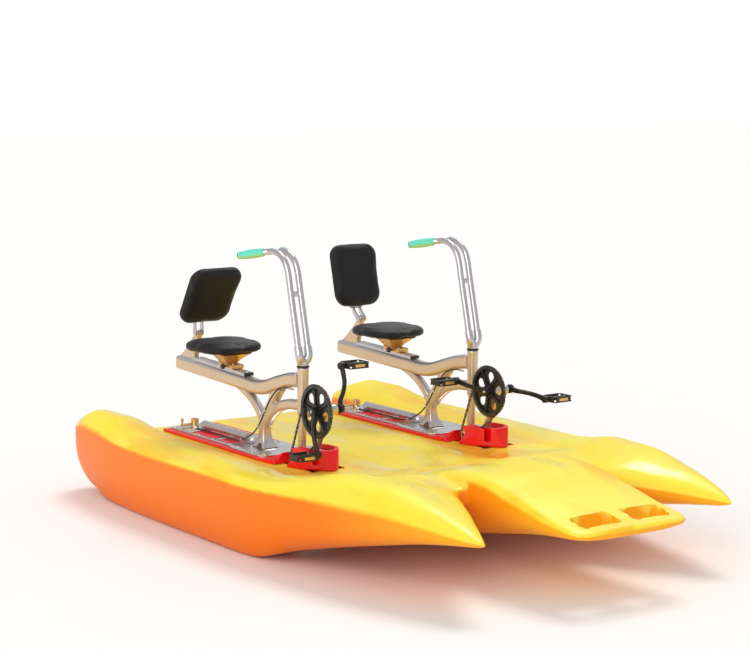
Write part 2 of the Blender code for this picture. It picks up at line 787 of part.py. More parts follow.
def main_beam(drive):
    """The wavy beam that carries the seat, with the backrest arm welded on its rear end."""
    item = box_tube(drive["name"] + "_main_beam", beam_path(), BEAM_WIDTH, BEAM_HEIGHT, 0.014)
    place(item, drive["root"], ALUMINIUM)
    hinge_x, hinge_z = BACK_HINGE
    nose = [
        (hinge_x + 0.014 * math.cos(a), hinge_z + 0.014 * math.sin(a))
        for a in [math.radians(-30 + 30 * i) for i in range(7)]
    ]
    foot = beam_centre(-1.1) + BEAM_HEIGHT / 2 - 0.012
    outline = [(-1.035, foot), (-1.012, foot + 0.05), *nose, (-1.055, 0.150), (-1.110, 0.105)]
    outline += [(-1.160, foot + 0.012), (-1.160, foot)]
    arm = upright(slab("back_arm", [outline], BACK_ARM_WIDTH))
    place(arm, drive["root"], ALUMINIUM, helper=True)
    pin = across(rod("back_pin_hole", BACK_PIN_RADIUS + GAP, -0.1, 0.1, 12))
    place(pin, drive["root"], ALUMINIUM, (hinge_x, 0, hinge_z), helper=True)
    join(item, arm)
    cut(item, pin, head_clearance(drive))


def leg_frame(drive):
    """The struts that rise from one foot: back to the beam, forward to the beam and the head."""
    name = drive["name"] + "_leg_frame"
    foot_top = PLATE_TOP + GAP + 0.070
    item = frustum(
        name, (0.052, 0.038), (COLUMN_WIDTH / 2, 0.021), PLATE_TOP + GAP, foot_top, (FOOT_X, 0.0)
    )
    place(item, drive["root"], ALUMINIUM)
    column = [(FOOT_X, 0, foot_top - 0.002), (FOOT_X + 0.002, 0, -0.118), (-0.462, 0, -0.095)]
    rear = [(-0.475, 0, -0.120), (-0.500, 0, -0.080), (-0.550, 0, -0.038), (-0.610, 0, -0.008)]
    rear.append((-0.680, 0, 0.020))
    front = [(-0.468, 0, -0.125), (-0.448, 0, -0.085), (-0.410, 0, -0.035), (-0.372, 0, 0.018)]
    front.append((-0.340, 0, 0.050))
    arch = [(-0.452, 0, -0.118), (-0.415, 0, -0.078), (-0.350, 0, -0.036), (-0.270, 0, -0.014)]
    arch.append((-0.175, 0, -0.008))
    pieces = [
        box_tube("leg_column", column, 0.042, COLUMN_WIDTH, 0.010),
        box_tube("leg_rear_strut", smooth_line(rear, 2), 0.034, STRUT_WIDTH, 0.009),
        box_tube("leg_front_strut", smooth_line(front, 2), 0.038, FRONT_STRUT_WIDTH, 0.010),
        box_tube("leg_arch", smooth_line(arch, 2), 0.036, ARCH_WIDTH, 0.009),
    ]
    for piece in pieces:
        place(piece, drive["root"], ALUMINIUM, helper=True)
    join(item, *pieces)
    arch_gap = across(rod("foot_gap", 0.020, -0.1, 0.1, 24))
    place(arch_gap, drive["root"], ALUMINIUM, (FOOT_X + 0.012, 0, PLATE_TOP), helper=True)
    cut(item, arch_gap, beam_clearance(drive), head_clearance(drive))


def head_tube(drive):
    item = ring(drive["name"] + "_head_tube", HEAD_RADIUS, HEAD_BORE, HEAD_BOTTOM, HEAD_TOP, 20)
    place(item, drive["root"], ALUMINIUM, (HEAD_X, 0, 0))


def seal_ring(drive):
    low = HEAD_TOP + GAP
    item = ring(
        drive["name"] + "_seal_ring", SEAL_RADIUS, STEM_RADIUS + 0.0008, low, low + SEAL_HEIGHT, 20
    )
    place(item, drive["root"], BLACK_RUBBER, (HEAD_X, 0, 0))


def front_support(drive):
    """The bottom bracket shell, its arm to the head tube and the two legs to the gearbox."""
    name = drive["name"] + "_front_support"
    item = across(rod(name, SHELL_RADIUS, -SHELL_HALF_LENGTH, SHELL_HALF_LENGTH))
    place(item, drive["root"], ALUMINIUM)
    low = GEARBOX_TOP + GAP
    arm = tube("support_arm", [(HEAD_X, 0, HEAD_BOTTOM + 0.013), (-0.010, 0, 0.0)], 0.019)
    rear_leg = tube("support_rear_leg", [(HEAD_X, 0, HEAD_BOTTOM + 0.01), (-0.190, 0, low)], 0.017)
    front_leg = tube("support_front_leg", [(-0.006, 0, -0.004), (-0.088, 0, low - 0.02)], 0.015)
    for piece in (arm, rear_leg, front_leg):
        place(piece, drive["root"], ALUMINIUM, helper=True)
    join(item, arm, rear_leg, front_leg)
    floor = box("support_floor", (-0.4, -0.1, low - 0.1), (0.1, 0.1, low))
    place(floor, drive["root"], ALUMINIUM, helper=True)
    bore = across(rod("shell_bore", AXLE_RADIUS + 0.0010, -0.1, 0.1))
    place(bore, drive["root"], ALUMINIUM, helper=True)
    cut(item, floor, bore, head_clearance(drive))


# ---------------------------------------------------------------- seat and backrest
def seat_rail(drive):
    """A square rail along the top of the beam."""
    item = box(
        drive["name"] + "_seat_rail",
        (0.0, -RAIL_WIDTH / 2, 0.0),
        (RAIL_LENGTH, RAIL_WIDTH / 2, RAIL_HEIGHT),
        0.002,
    )
    place(item, drive["rail"], ALUMINIUM)


def seat_carriage(drive):
    """The slide block on the rail and the bracket that spreads under the seat."""
    low = RAIL_HEIGHT + GAP
    name = drive["name"] + "_seat_carriage"
    half = CARRIAGE_LENGTH / 2
    item = box(name, (-half, -0.030, low), (half, 0.030, low + CARRIAGE_HEIGHT), 0.003)
    place(item, drive["slide"], BRONZE)
    top = SEAT_UNDERSIDE - drive["slide_height"] + 0.006
    spread = frustum(
        "seat_bracket", (0.036, 0.024), (0.088, 0.075), low + 0.006, top, (-0.025, 0.0)
    )
    place(spread, drive["slide"], BRONZE, helper=True)
    high = SEAT_UNDERSIDE - GAP
    level = box("seat_bracket_level", (SEAT_X - 0.3, -0.3, high), (SEAT_X + 0.3, 0.3, high + 0.2))
    place(level, drive["root"], BRONZE, helper=True)
    join(item, spread)
    cut(item, level)


def seat_pad(drive):
    outline = []
    for i in range(28):
        c, s = rounded(2 * math.pi * i / 28, 2.9)
        outline.append((SEAT_SIZE / 2 * c, SEAT_SIZE / 2 * s * (1.0 - 0.05 * c)))
    item = slab(drive["name"] + "_seat_pad", [outline], SEAT_THICKNESS, 0.012, 1)
    shifted(item, z=SEAT_THICKNESS / 2)
    place(item, drive["seat"], BLACK_VINYL)


def back_hinge(drive):
    """The folding plate behind the backrest pad, with its two ears and the hinge pin."""
    ear_y = BACK_ARM_WIDTH / 2 + 0.001
    rear = -0.034
    name = drive["name"] + "_back_hinge"
    outline = [(0.013 * math.cos(a), 0.013 * math.sin(a)) for a in
               [math.radians(-90 + 30 * i) for i in range(5)]]
    outline += [(-0.018, 0.040), (rear + 0.006, 0.062), (rear, 0.062), (rear, 0.030), (-0.012, -0.006)]
    item = box(name, (rear, -0.036, 0.050), (rear + 0.008, 0.036, 0.215))
    place(item, drive["back"], BRONZE)
    pieces = []
    for side in (-1, 1):
        ear = upright(slab("hinge_ear", [outline], EAR_THICKNESS))
        shifted(ear, y=side * (ear_y + EAR_THICKNESS / 2))
        pieces.append(ear)
    reach = ear_y + EAR_THICKNESS + 0.003
    pieces.append(across(rod("hinge_pin", BACK_PIN_RADIUS, -reach, reach, 12)))
    for piece in pieces:
        place(piece, drive["back"], BRONZE, helper=True)
    join(item, *pieces)


def back_pad(drive):
    outline = rounded_rectangle(BACK_WIDTH, BACK_HEIGHT, 0.055)
    item = slab(drive["name"] + "_back_pad", [outline], BACK_THICKNESS, 0.012, 1)
    turn = Matrix.Rotation(math.radians(90), 4, "Z") @ Matrix.Rotation(math.radians(90), 4, "X")
    item.data.transform(turn)
    middle = BACK_OFFSET + BACK_HEIGHT / 2
    shifted(item, x=-0.026 + GAP + BACK_THICKNESS / 2, z=middle)
    place(item, drive["back"], BLACK_VINYL)


# ---------------------------------------------------------------- steering
def bar_points(side):
    """The path of one handlebar tube, from its socket to the start of its grip."""
    y = side * BAR_SPACING / 2
    knots = [
        (0.006, y, 0.200),
        (-0.0085, y, 0.260),
        (-0.0505, y, 0.432),
        (-0.0700, y, 0.512),
        (-0.0920, y, 0.553),
        (-0.1300, y, 0.580),
        (-0.1750, y * 1.05, 0.5890),
    ]
    start, along = grip_axis(side)
    bend = smooth_line([*knots[1:], start], 2)
    return [Vector(knots[0]), *bend, start + along * 0.010, start + along * BAR_END]


def grip_axis(side):
    start = Vector((-0.2020, side * BAR_SPACING / 2 * 1.25, 0.5872))
    end = Vector((-0.2790, side * (BAR_SPACING / 2 + 0.072), 0.5720))
    return start, (end - start).normalized()


def steer_socket(drive):
    """The forked casting that turns in the head tube and holds both handlebar tubes."""
    name = drive["name"] + "_steer_socket"
    low = HEAD_TOP + SEAL_HEIGHT + 2 * GAP
    profile = [
        (0.0, 0.182), (0.018, 0.182), (0.0225, 0.172), (0.0225, low), (STEM_RADIUS, low),
        (STEM_RADIUS, 0.060), (0.0, 0.060),
    ]
    item = turned(name, profile, 18)
    place(item, drive["steer"], ALUMINIUM)
    for side in (-1, 1):
        y = side * BAR_SPACING / 2
        arm = tube(
            "socket_arm",
            [(0.005, side * 0.010, 0.171), (0.0085, y * 0.92, 0.190), (-0.001, y, 0.228)],
            BAR_RADIUS + 0.0045,
        )
        place(arm, drive["steer"], ALUMINIUM, helper=True)
        join(item, arm)
    cut(item, bar_clearance(drive, -1), bar_clearance(drive, 1))


def bar_clearance(drive, side):
    tool = tube("bar_clearance", bar_points(side)[:4], BAR_RADIUS + GAP)
    return place(tool, drive["steer"], ALUMINIUM, helper=True)


def handlebar(drive):
    """Two tubes side by side, held together by a brace."""
    name = drive["name"] + "_handlebar"
    item = tube(name, bar_points(-1), BAR_RADIUS)
    place(item, drive["steer"], ALUMINIUM)
    port = tube("handlebar_port_tube", bar_points(1), BAR_RADIUS)
    half = BAR_SPACING / 2
    x = -0.0500
    z = BAR_BRACE_HEIGHT
    brace = box("handlebar_brace", (x - 0.008, -half, z - 0.012), (x + 0.008, half, z + 0.012), 0.003)
    for piece in (port, brace):
        place(piece, drive["steer"], ALUMINIUM, helper=True)
    join(item, port, brace)


def grip(drive, side, word):
    """A rubber grip, swollen in the middle, over the end of its handlebar tube."""
    start, along = grip_axis(side)
    radii = [0.85, 1.0, 1.0, 0.95, 0.74]
    begin = start + along * 0.022
    points = [begin + along * GRIP_LENGTH * i / (len(radii) - 1) for i in range(len(radii))]
    item = tube(drive["name"] + "_grip_" + word, points, GRIP_RADIUS, 4, radii)
    place(item, drive["steer"], TURQUOISE)
    bore = tube(
        "grip_bore", [start + along * 0.010, start + along * (BAR_END + GAP)], BAR_RADIUS + GAP
    )
    place(bore, drive["steer"], ALUMINIUM, helper=True)
    cut(item, bore)


# ---------------------------------------------------------------- cranks, chain and gear
def chainring(drive):
    """The toothed ring and its guard, turned as one piece, with five drop-shaped windows."""
    face = CHAIN_PLANE
    near = face - CHAIN_WIDTH / 2 + 0.001
    guard_in = face + CHAIN_WIDTH / 2 + 0.0015
    guard_out = guard_in + 0.0035
    teeth = RING_PITCH_RADIUS - CHAIN_HEIGHT / 2 - 0.0015
    profile = [
        (0.030, guard_out), (GUARD_RADIUS, guard_out), (GUARD_RADIUS, guard_in),
        (teeth - 0.006, guard_in), (teeth, face), (teeth - 0.006, near),
        (AXLE_RADIUS + GAP, near), (AXLE_RADIUS + GAP, guard_out - 0.003),
    ]
    item = turned(drive["name"] + "_chainring", profile, 30, closed=True)
    place(across(item), drive["crank"], BLACK_METAL)
    for i in range(5):
        angle = 2 * math.pi * (i + 0.5) / 5
        drop = [(0.034, 0.0), *[
            (0.062 + 0.0175 * math.cos(a), 0.0175 * math.sin(a))
            for a in [math.radians(-110 + 44 * k) for k in range(6)]
        ]]
        window = upright(slab("ring_window", [drop], 0.12))
        window.data.transform(Matrix.Rotation(angle, 4, "Y"))
        place(shifted(window, y=-0.06), drive["crank"], BLACK_METAL, helper=True)
        cut(item, window)


def crank_arm(name, parent, side, inner, outer_end):
    """One crank: a hub on the axle, a tapered arm, a boss and the pedal spindle."""
    y0 = side * (inner + 0.011)
    y1 = side * outer_end
    near, far = inner, inner + CRANK_HUB_WIDTH
    hub = across(rod(name, CRANK_HUB_RADIUS, side_low(side, near, far), side_high(side, near, far)))
    place(hub, parent, BLACK_METAL)
    length = CRANK_LENGTH
    knots = [(0, y0, 0), (0, y0 + (y1 - y0) * 0.45, -0.30 * length), (0, y1, -0.62 * length)]
    knots.append((0, y1, -length))
    line = smooth_line(knots, 2)
    radii = [1.25 - 0.35 * i / (len(line) - 1) for i in range(len(line))]
    arm = tube(name + "_arm", line, CRANK_RADIUS, 4, radii)
    boss = across(rod(name + "_boss", 0.0140, side_low(side, outer_end - BOSS_HALF, outer_end + BOSS_HALF),
                      side_high(side, outer_end - BOSS_HALF, outer_end + BOSS_HALF)))
    reach = outer_end + BOSS_HALF + PEDAL_WIDTH - 0.012
    spindle = across(rod(name + "_spindle", SPINDLE_RADIUS, side_low(side, outer_end, reach),
                         side_high(side, outer_end, reach), 10))
    place(arm, parent, BLACK_METAL, helper=True)
    place(boss, parent, BLACK_METAL, (0, 0, -length), helper=True)
    place(spindle, parent, BLACK_METAL, (0, 0, -length), helper=True)
    join(hub, arm, boss, spindle)
    return hub


def side_low(side, near, far):
    """The lower end, along the starboard axis, of a stretch given by distances from the middle."""
    return near if side < 0 else -far


def side_high(side, near, far):
    return far if side < 0 else -near


def cranks(drive):
    inner_right = CHAIN_PLANE + CHAIN_WIDTH / 2 + 0.0015 + 0.0035 + GAP
    right = crank_arm(drive["name"] + "_crank_right", drive["crank"], -1, inner_right, CRANK_END_RIGHT)
    inner_left = SHELL_HALF_LENGTH + 0.012
    left = crank_arm(
        drive["name"] + "_crank_left", drive["crank_back"], 1, inner_left, CRANK_END_LEFT
    )
    axle = across(rod("axle", AXLE_RADIUS, -inner_left - 0.006, inner_right + 0.018))
    place(axle, drive["crank_back"], BLACK_METAL, helper=True)
    join(left, axle)
    hole = across(rod("axle_hole", AXLE_RADIUS + GAP, 0.0, 0.2))
    place(hole, drive["crank"], BLACK_METAL, helper=True)
    cut(right, hole)


def pedal(drive, side, word, parent, crank_end):
    """A caged pedal that turns on the crank's spindle."""
    near = crank_end + BOSS_HALF + 0.0012
    far = near + PEDAL_WIDTH
    low = -far if side < 0 else near
    high = -near if side < 0 else far
    half_l = PEDAL_LENGTH / 2
    half_h = PEDAL_HEIGHT / 2
    item = box(
        drive["name"] + "_pedal_" + word, (-half_l, low, -half_h), (half_l, high, half_h), 0.004
    )
    place(item, parent, BLACK_RUBBER)
    for direction in (-1, 1):
        inner = 0.0105
        outer = half_l - 0.009
        a = inner if direction > 0 else -outer
        b = outer if direction > 0 else -inner
        window = box("pedal_window", (a, low + 0.012, -0.1), (b, high - 0.012, 0.1))
        place(window, parent, BLACK_RUBBER, helper=True)
        cut(item, window)
    bore_far = crank_end + BOSS_HALF + PEDAL_WIDTH - 0.012 + 0.0008
    bore = across(rod("pedal_bore", SPINDLE_RADIUS + 0.0004, side_low(side, near - 0.01, bore_far),
                      side_high(side, near - 0.01, bore_far), 10))
    place(bore, parent, BLACK_RUBBER, helper=True)
    cut(item, bore)


def belt_outline(extra):
    """The outline round the chainring and the sprocket, at a distance from the pitch line."""
    big = RING_PITCH_RADIUS + extra
    small = SPROCKET_PITCH_RADIUS + extra
    dx, dz = SPROCKET_CENTRE
    distance = math.hypot(dx, dz)
    heading = math.atan2(dz, dx)
    lean = math.acos((RING_PITCH_RADIUS - SPROCKET_PITCH_RADIUS) / distance)
    outline = []
    start = heading + lean
    sweep = 2 * math.pi - 2 * lean
    for i in range(25):
        a = start + sweep * i / 24
        outline.append((big * math.cos(a), big * math.sin(a)))
    start = heading - lean
    for i in range(9):
        a = start + 2 * lean * i / 8
        outline.append((dx + small * math.cos(a), dz + small * math.sin(a)))
    return outline


def chain(drive):
    half = CHAIN_HEIGHT / 2
    item = upright(slab(drive["name"] + "_chain", [belt_outline(half), belt_outline(-half)], CHAIN_WIDTH))
    shifted(item, y=-CHAIN_PLANE)
    place(item, drive["root"], BLACK_METAL)


def drive_sprocket(drive):
    """The small sprocket, its face cap and the stub shaft into the gearbox."""
    teeth = SPROCKET_PITCH_RADIUS - CHAIN_HEIGHT / 2 - 0.0008
    face = CHAIN_PLANE
    profile = [
        (0.0, face + 0.014), (0.007, face + 0.014), (0.017, face + 0.009), (teeth - 0.003, face + 0.003),
        (teeth, face), (teeth - 0.003, face - 0.003), (0.006, face - 0.005), (0.006, 0.0300),
        (0.0, 0.0300),
    ]
    item = across(turned(drive["name"] + "_drive_sprocket", profile, 18))
    place(item, drive["sprocket"], BRONZE)


def drive_pod(drive):
    """The gearbox in the base, the leg down through the well and the propeller housing."""
    middle = GEARBOX_X
    item = box(
        drive["name"] + "_drive_pod",
        (middle - GEARBOX_LENGTH / 2, -0.028, -0.262),
        (middle + GEARBOX_LENGTH / 2, 0.052, GEARBOX_TOP),
        0.006,
    )
    place(item, drive["root"], ALUMINIUM)
    leg = frustum("pod_leg", (0.034, 0.010), (0.050, 0.016), POD_DROP + 0.01, -0.255, (middle, 0.0))
    torpedo = turned("pod_torpedo", [
        (0.0, 0.175), (0.010, 0.171), (0.020, 0.158), (POD_RADIUS, 0.135), (POD_RADIUS, 0.040),
        (0.022, 0.012), (0.0175, 0.0), (0.0, 0.0)], 20)
    torpedo.data.transform(Matrix.Rotation(math.radians(90), 4, "Y"))
    place(leg, drive["root"], ALUMINIUM, helper=True)
    place(torpedo, drive["root"], ALUMINIUM, (POD_REAR, 0, POD_DROP), helper=True)
    join(item, leg, torpedo)


def propeller(drive):
    """A three-bladed propeller on its hub, behind the pod."""
    hub = turned(drive["name"] + "_propeller", [
        (0.0, 0.0), (0.0165, -0.001), (0.0175, -0.010), (0.0165, -0.040), (0.009, -0.056),
        (0.0, -0.060)], 14)
    hub.data.transform(Matrix.Rotation(math.radians(90), 4, "Y"))
    place(hub, drive["propeller"], BRONZE)
    outline = [(0.012, -0.010), (0.030, -0.022), (0.055, -0.029), (0.075, -0.024), (PROP_RADIUS, -0.006)]
    outline += [(PROP_RADIUS, 0.004), (0.078, 0.018), (0.055, 0.026), (0.030, 0.021), (0.012, 0.010)]
    for i in range(PROP_BLADES):
        blade = slab("propeller_blade", [outline], 0.005)
        blade.data.transform(Matrix.Rotation(math.radians(90) - PROP_PITCH, 4, "X"))
        blade.data.transform(Matrix.Rotation(math.radians(90), 4, "Z"))
        blade.data.transform(Matrix.Rotation(2 * math.pi * i / PROP_BLADES, 4, "X"))
        place(shifted(blade, x=-0.024), drive["propeller"], BRONZE, helper=True)
        join(hub, blade)


# ---------------------------------------------------------------- rudder and its control
def rudder(drive):
    item = rod(drive["name"] + "_rudder", RUDDER_STOCK_RADIUS, RUDDER_TOP - RUDDER_DEPTH + 0.02, STOCK_TOP)
    place(item, drive["rudder"], BLACK_METAL)
    low = RUDDER_TOP - RUDDER_DEPTH
    front = 0.035
    rear = front - RUDDER_CHORD
    outline = [
        (front, RUDDER_TOP - 0.010), (front - 0.010, RUDDER_TOP), (rear + 0.020, RUDDER_TOP),
        (rear, RUDDER_TOP - 0.020), (rear + 0.030, low + 0.012), (rear + 0.050, low),
        (front - 0.025, low), (front - 0.008, low + 0.020),
    ]
    blade = upright(slab("rudder_blade", [outline], RUDDER_THICKNESS, 0.003))
    place(blade, drive["rudder"], BLACK_METAL, helper=True)
    join(item, blade)


def tiller(drive):
    """The bronze arm on top of the rudder stock that the steering cable pulls."""
    low = PLATE_TOP + GAP + 0.001
    name = drive["name"] + "_tiller"
    item = ring(name, 0.017, RUDDER_STOCK_RADIUS + GAP, low, STOCK_TOP + 0.004, 14)
    place(item, drive["rudder"], BRONZE)
    arm = box("tiller_arm", (-0.010, -TILLER_REACH, low + 0.004), (0.010, -0.0115, low + 0.012))
    post = rod("tiller_post", 0.0075, low + 0.006, low + 0.034, 10)
    place(arm, drive["rudder"], BRONZE, helper=True)
    place(post, drive["rudder"], BRONZE, (0, -TILLER_REACH, 0), helper=True)
    join(item, arm, post)


def guide_tube(drive):
    """The tube that guards the steering cable, on a block at each end."""
    z = PLATE_TOP + 0.019
    item = tube(drive["name"] + "_guide_tube", [(TUBE_REAR, 0, z), (TUBE_FRONT, 0, z)], TUBE_RADIUS, 4)
    place(item, drive["root"], ALUMINIUM)
    low = PLATE_TOP + GAP
    start, end = TUBE_REAR + 0.006, TUBE_REAR + 0.034
    rear = box("tube_rear_block", (start, -0.020, low), (end, 0.020, z + 0.004), 0.002)
    start, end = TUBE_FRONT - 0.008, TUBE_FRONT + 0.045
    front = box("tube_front_block", (start, -0.020, low), (end, 0.020, z + 0.006), 0.003)
    for piece in (rear, front):
        place(piece, drive["root"], ALUMINIUM, helper=True)
    join(item, rear, front)


def steering_cable(drive):
    """The cable from the head, down the leg and along the guide tube to the tiller."""
    low = PLATE_TOP + CABLE_RADIUS + 0.0006
    route = [
        (-0.2080, -0.0290, 0.0560), (-0.2500, -0.0350, 0.0570), (-0.3050, -0.0370, 0.0440),
        (-0.3500, -0.0390, 0.0080), (-0.3950, -0.0400, -0.0480), (-0.4320, -0.0400, -0.1000),
        (-0.4780, -0.0430, -0.1520), (-0.5400, -0.0460, -0.1880), (-0.6200, -0.0400, low + 0.0040),
        (-0.7400, -0.0280, low), (-0.8700, -0.0280, low), (-0.9600, -0.0340, low),
        (-0.9850, -0.0400, low + 0.0050),
    ]
    line = smooth_line(route, 2)
    item = tube(drive["name"] + "_steering_cable", line, CABLE_RADIUS, 2)
    place(item, drive["root"], BLACK_RUBBER)


# ---------------------------------------------------------------- one whole drive
def build_drive(name, side, crank_angle, lean):
    root = empty(name + "_drive", None, (DRIVE_X, side * DRIVE_SPACING / 2, BRACKET_HEIGHT))
    rail_x = BEAM_REAR[0] + RAIL_START
    rail_z = beam_centre(rail_x) + (BEAM_HEIGHT / 2 + GAP) / math.cos(BEAM_SLOPE)
    rail = empty(name + "_rail_line", root, (rail_x, 0, rail_z), (0, -BEAM_SLOPE, 0))
    slide_height = rail_z + (SEAT_X + 0.055 - rail_x) * math.tan(BEAM_SLOPE)
    slide = empty(name + "_slide", root, (SEAT_X + 0.055, 0, slide_height), (0, -BEAM_SLOPE, 0))
    drive = {
        "name": name,
        "root": root,
        "rail": rail,
        "slide": slide,
        "slide_height": slide_height,
        "seat": empty(name + "_seat", root, (SEAT_X, 0, SEAT_UNDERSIDE)),
        "back": empty(name + "_back", root, (BACK_HINGE[0], 0, BACK_HINGE[1]), (0, lean, 0)),
        "steer": empty(name + "_steer", root, (HEAD_X, 0, 0)),
        "crank": empty(name + "_crank", root, (0, 0, 0), (0, -crank_angle, 0)),
        "crank_back": empty(name + "_crank_back", root, (0, 0, 0), (0, math.pi - crank_angle, 0)),
        "sprocket": empty(name + "_sprocket", root, (SPROCKET_CENTRE[0], 0, SPROCKET_CENTRE[1])),
        "propeller": empty(name + "_propeller_axis", root, (POD_REAR - 0.001, 0, POD_DROP)),
        "rudder": empty(name + "_rudder_axis", root, (RUDDER_X, 0, 0)),
    }
    reach = Vector((math.sin(crank_angle), 0.0, -math.cos(crank_angle))) * CRANK_LENGTH
    pedal_right = empty(name + "_pedal_right_axis", root, reach)
    pedal_left = empty(name + "_pedal_left_axis", root, -reach)
    base_housing(drive)
    base_plate(drive)
    main_beam(drive)
    leg_frame(drive)
    head_tube(drive)
    seal_ring(drive)
    front_support(drive)
    seat_rail(drive)
    seat_carriage(drive)
    seat_pad(drive)
    back_hinge(drive)
    back_pad(drive)
    steer_socket(drive)
    handlebar(drive)
    grip(drive, -1, "right")
    grip(drive, 1, "left")
    chainring(drive)
    cranks(drive)
    pedal(drive, -1, "right", pedal_right, CRANK_END_RIGHT)
    pedal(drive, 1, "left", pedal_left, CRANK_END_LEFT)
    chain(drive)
    drive_sprocket(drive)
    drive_pod(drive)
    propeller(drive)
    rudder(drive)
    tiller(drive)
    guide_tube(drive)
    steering_cable(drive)


hull()
for drive_name, drive_side, crank_turn, back_lean in DRIVES:
    build_drive(drive_name, drive_side, crank_turn, back_lean)
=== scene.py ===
"""Finished look of a two-seat pedal boat: moulded hull, two pedal drives, seats and running gear."""
import math

import bmesh
import bpy
from mathutils import Matrix, Vector, noise
from mathutils.bvhtree import BVHTree


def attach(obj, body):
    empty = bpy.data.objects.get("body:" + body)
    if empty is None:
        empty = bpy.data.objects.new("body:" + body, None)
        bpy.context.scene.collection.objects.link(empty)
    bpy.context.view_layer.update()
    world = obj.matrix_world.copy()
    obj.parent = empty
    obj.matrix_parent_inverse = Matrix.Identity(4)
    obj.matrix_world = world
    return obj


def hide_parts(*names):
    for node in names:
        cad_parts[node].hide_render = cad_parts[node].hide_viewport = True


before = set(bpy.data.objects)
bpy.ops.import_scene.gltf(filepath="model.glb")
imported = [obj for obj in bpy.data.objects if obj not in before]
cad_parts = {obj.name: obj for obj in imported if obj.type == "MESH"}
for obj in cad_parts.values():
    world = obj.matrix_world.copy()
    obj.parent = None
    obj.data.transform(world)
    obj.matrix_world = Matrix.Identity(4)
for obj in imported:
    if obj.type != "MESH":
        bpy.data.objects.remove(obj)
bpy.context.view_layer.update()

bl_info = {
    "name": "Pedal boat",
    "version": (1, 0, 0),
    "blender": (4, 5, 0),
    "location": "View3D > Sidebar > Pedal boat",
    "description": "Builds the hull, drives, seats and finishes of a two-seat pedal boat",
    "category": "Object",
}

# ---------------------------------------------------------------- sizes that the drives share
HALF_LENGTH = 1.425
HALF_BEAM = 0.84
DECK = 0.295
DECK_AFT = -1.09
DECK_FORE = 0.80
DRIVE_X = 0.11
DRIVE_Y = 0.42
BRACKET_HEIGHT = 0.53
BASE_TOP = -0.2227           # below the bottom bracket
BASE_STEM = 0.046
PLATE_TOP = -0.2184
HEAD_X = -0.180
BACK_HINGE = (-1.005, 0.190)
CRANK_LENGTH = 0.170
RING_RADIUS = 0.100
SPROCKET_RADIUS = 0.028
SPROCKET_AT = (-0.164, -0.205)
CHAIN_PLANE = 0.0505
CHAIN_PITCH = 0.0127
POD_REAR = -0.235
POD_DROP = -0.410
RUDDER_X = -1.045
BEAM_SLOPE = math.atan2(0.0265 - 0.047, -0.600 + 1.165)

TURN_X = Matrix.Rotation(math.pi / 2, 4, "X")
TURN_Y = Matrix.Rotation(math.pi / 2, 4, "Y")
TURN_Z = Matrix.Rotation(math.pi / 2, 4, "Z")


def move(x=0.0, y=0.0, z=0.0):
    return Matrix.Translation((x, y, z))


def turn(angle, axis):
    return Matrix.Rotation(angle, 4, axis)


# ---------------------------------------------------------------- user settings
class PedalBoatLook(bpy.types.PropertyGroup):
    # The two hull colours are painted light and shade: the lit top and the shaded sides of one yellow plastic.
    hull_lit_top: bpy.props.FloatVectorProperty(
        name="Hull top", description="Colour of the hull's upper faces",
        default=(1.0, 0.800, 0.055), size=3, min=0, max=1, subtype="COLOR")
    hull_shaded_side: bpy.props.FloatVectorProperty(
        name="Hull side", description="Colour of the hull's sides and undersides",
        default=(1.0, 0.205, 0.002), size=3, min=0, max=1, subtype="COLOR")
    base: bpy.props.FloatVectorProperty(
        name="Drive base", description="Colour of the moulded base under each drive",
        default=(0.95, 0.003, 0.005), size=3, min=0, max=1, subtype="COLOR")
    metal: bpy.props.FloatVectorProperty(
        name="Frame metal", description="Colour of the satin aluminium",
        default=(0.56, 0.54, 0.57), size=3, min=0, max=1, subtype="COLOR")
    # Painted reflection: the orange-gold light that the yellow hull throws on the frame's sides and undersides.
    frame_reflected_warm: bpy.props.FloatVectorProperty(
        name="Warm side", description="Warm tint that the frame takes on its sides and undersides",
        default=(0.68, 0.47, 0.26), size=3, min=0, max=1, subtype="COLOR")
    grip: bpy.props.FloatVectorProperty(
        name="Grip", description="Colour of the rubber grips",
        default=(0.12, 0.72, 0.55), size=3, min=0, max=1, subtype="COLOR")
    pad: bpy.props.FloatVectorProperty(
        name="Pads", description="Colour of the vinyl on seats and backrests",
        default=(0.006, 0.006, 0.008), size=3, min=0, max=1, subtype="COLOR")


class PedalBoatSizes(bpy.types.PropertyGroup):
    hull_voxel: bpy.props.FloatProperty(
        name="Hull grain", description="Cell size of the hull's skin",
        default=0.0108, min=0.008, max=0.03, unit="LENGTH")
    frame_voxel: bpy.props.FloatProperty(
        name="Frame grain", description="Cell size of the welded frame's skin",
        default=0.0030, min=0.002, max=0.01, unit="LENGTH")
    ripple: bpy.props.FloatProperty(
        name="Deck ripple", description="Height of the waves in the moulded deck",
        default=0.0035, min=0.0, max=0.01, unit="LENGTH")
    seat: bpy.props.FloatProperty(
        name="Seat width", description="Width of the seat pad",
        default=0.285, min=0.2, max=0.3, unit="LENGTH")
    back_width: bpy.props.FloatProperty(
        name="Back width", description="Width of the backrest pad",
        default=0.240, min=0.15, max=0.25, unit="LENGTH")
    back_height: bpy.props.FloatProperty(
        name="Back height", description="Height of the backrest pad",
        default=0.282, min=0.2, max=0.3, unit="LENGTH")
    ring_teeth: bpy.props.IntProperty(
        name="Chainring teeth", description="Number of teeth on the chainring", default=50, min=30, max=60)


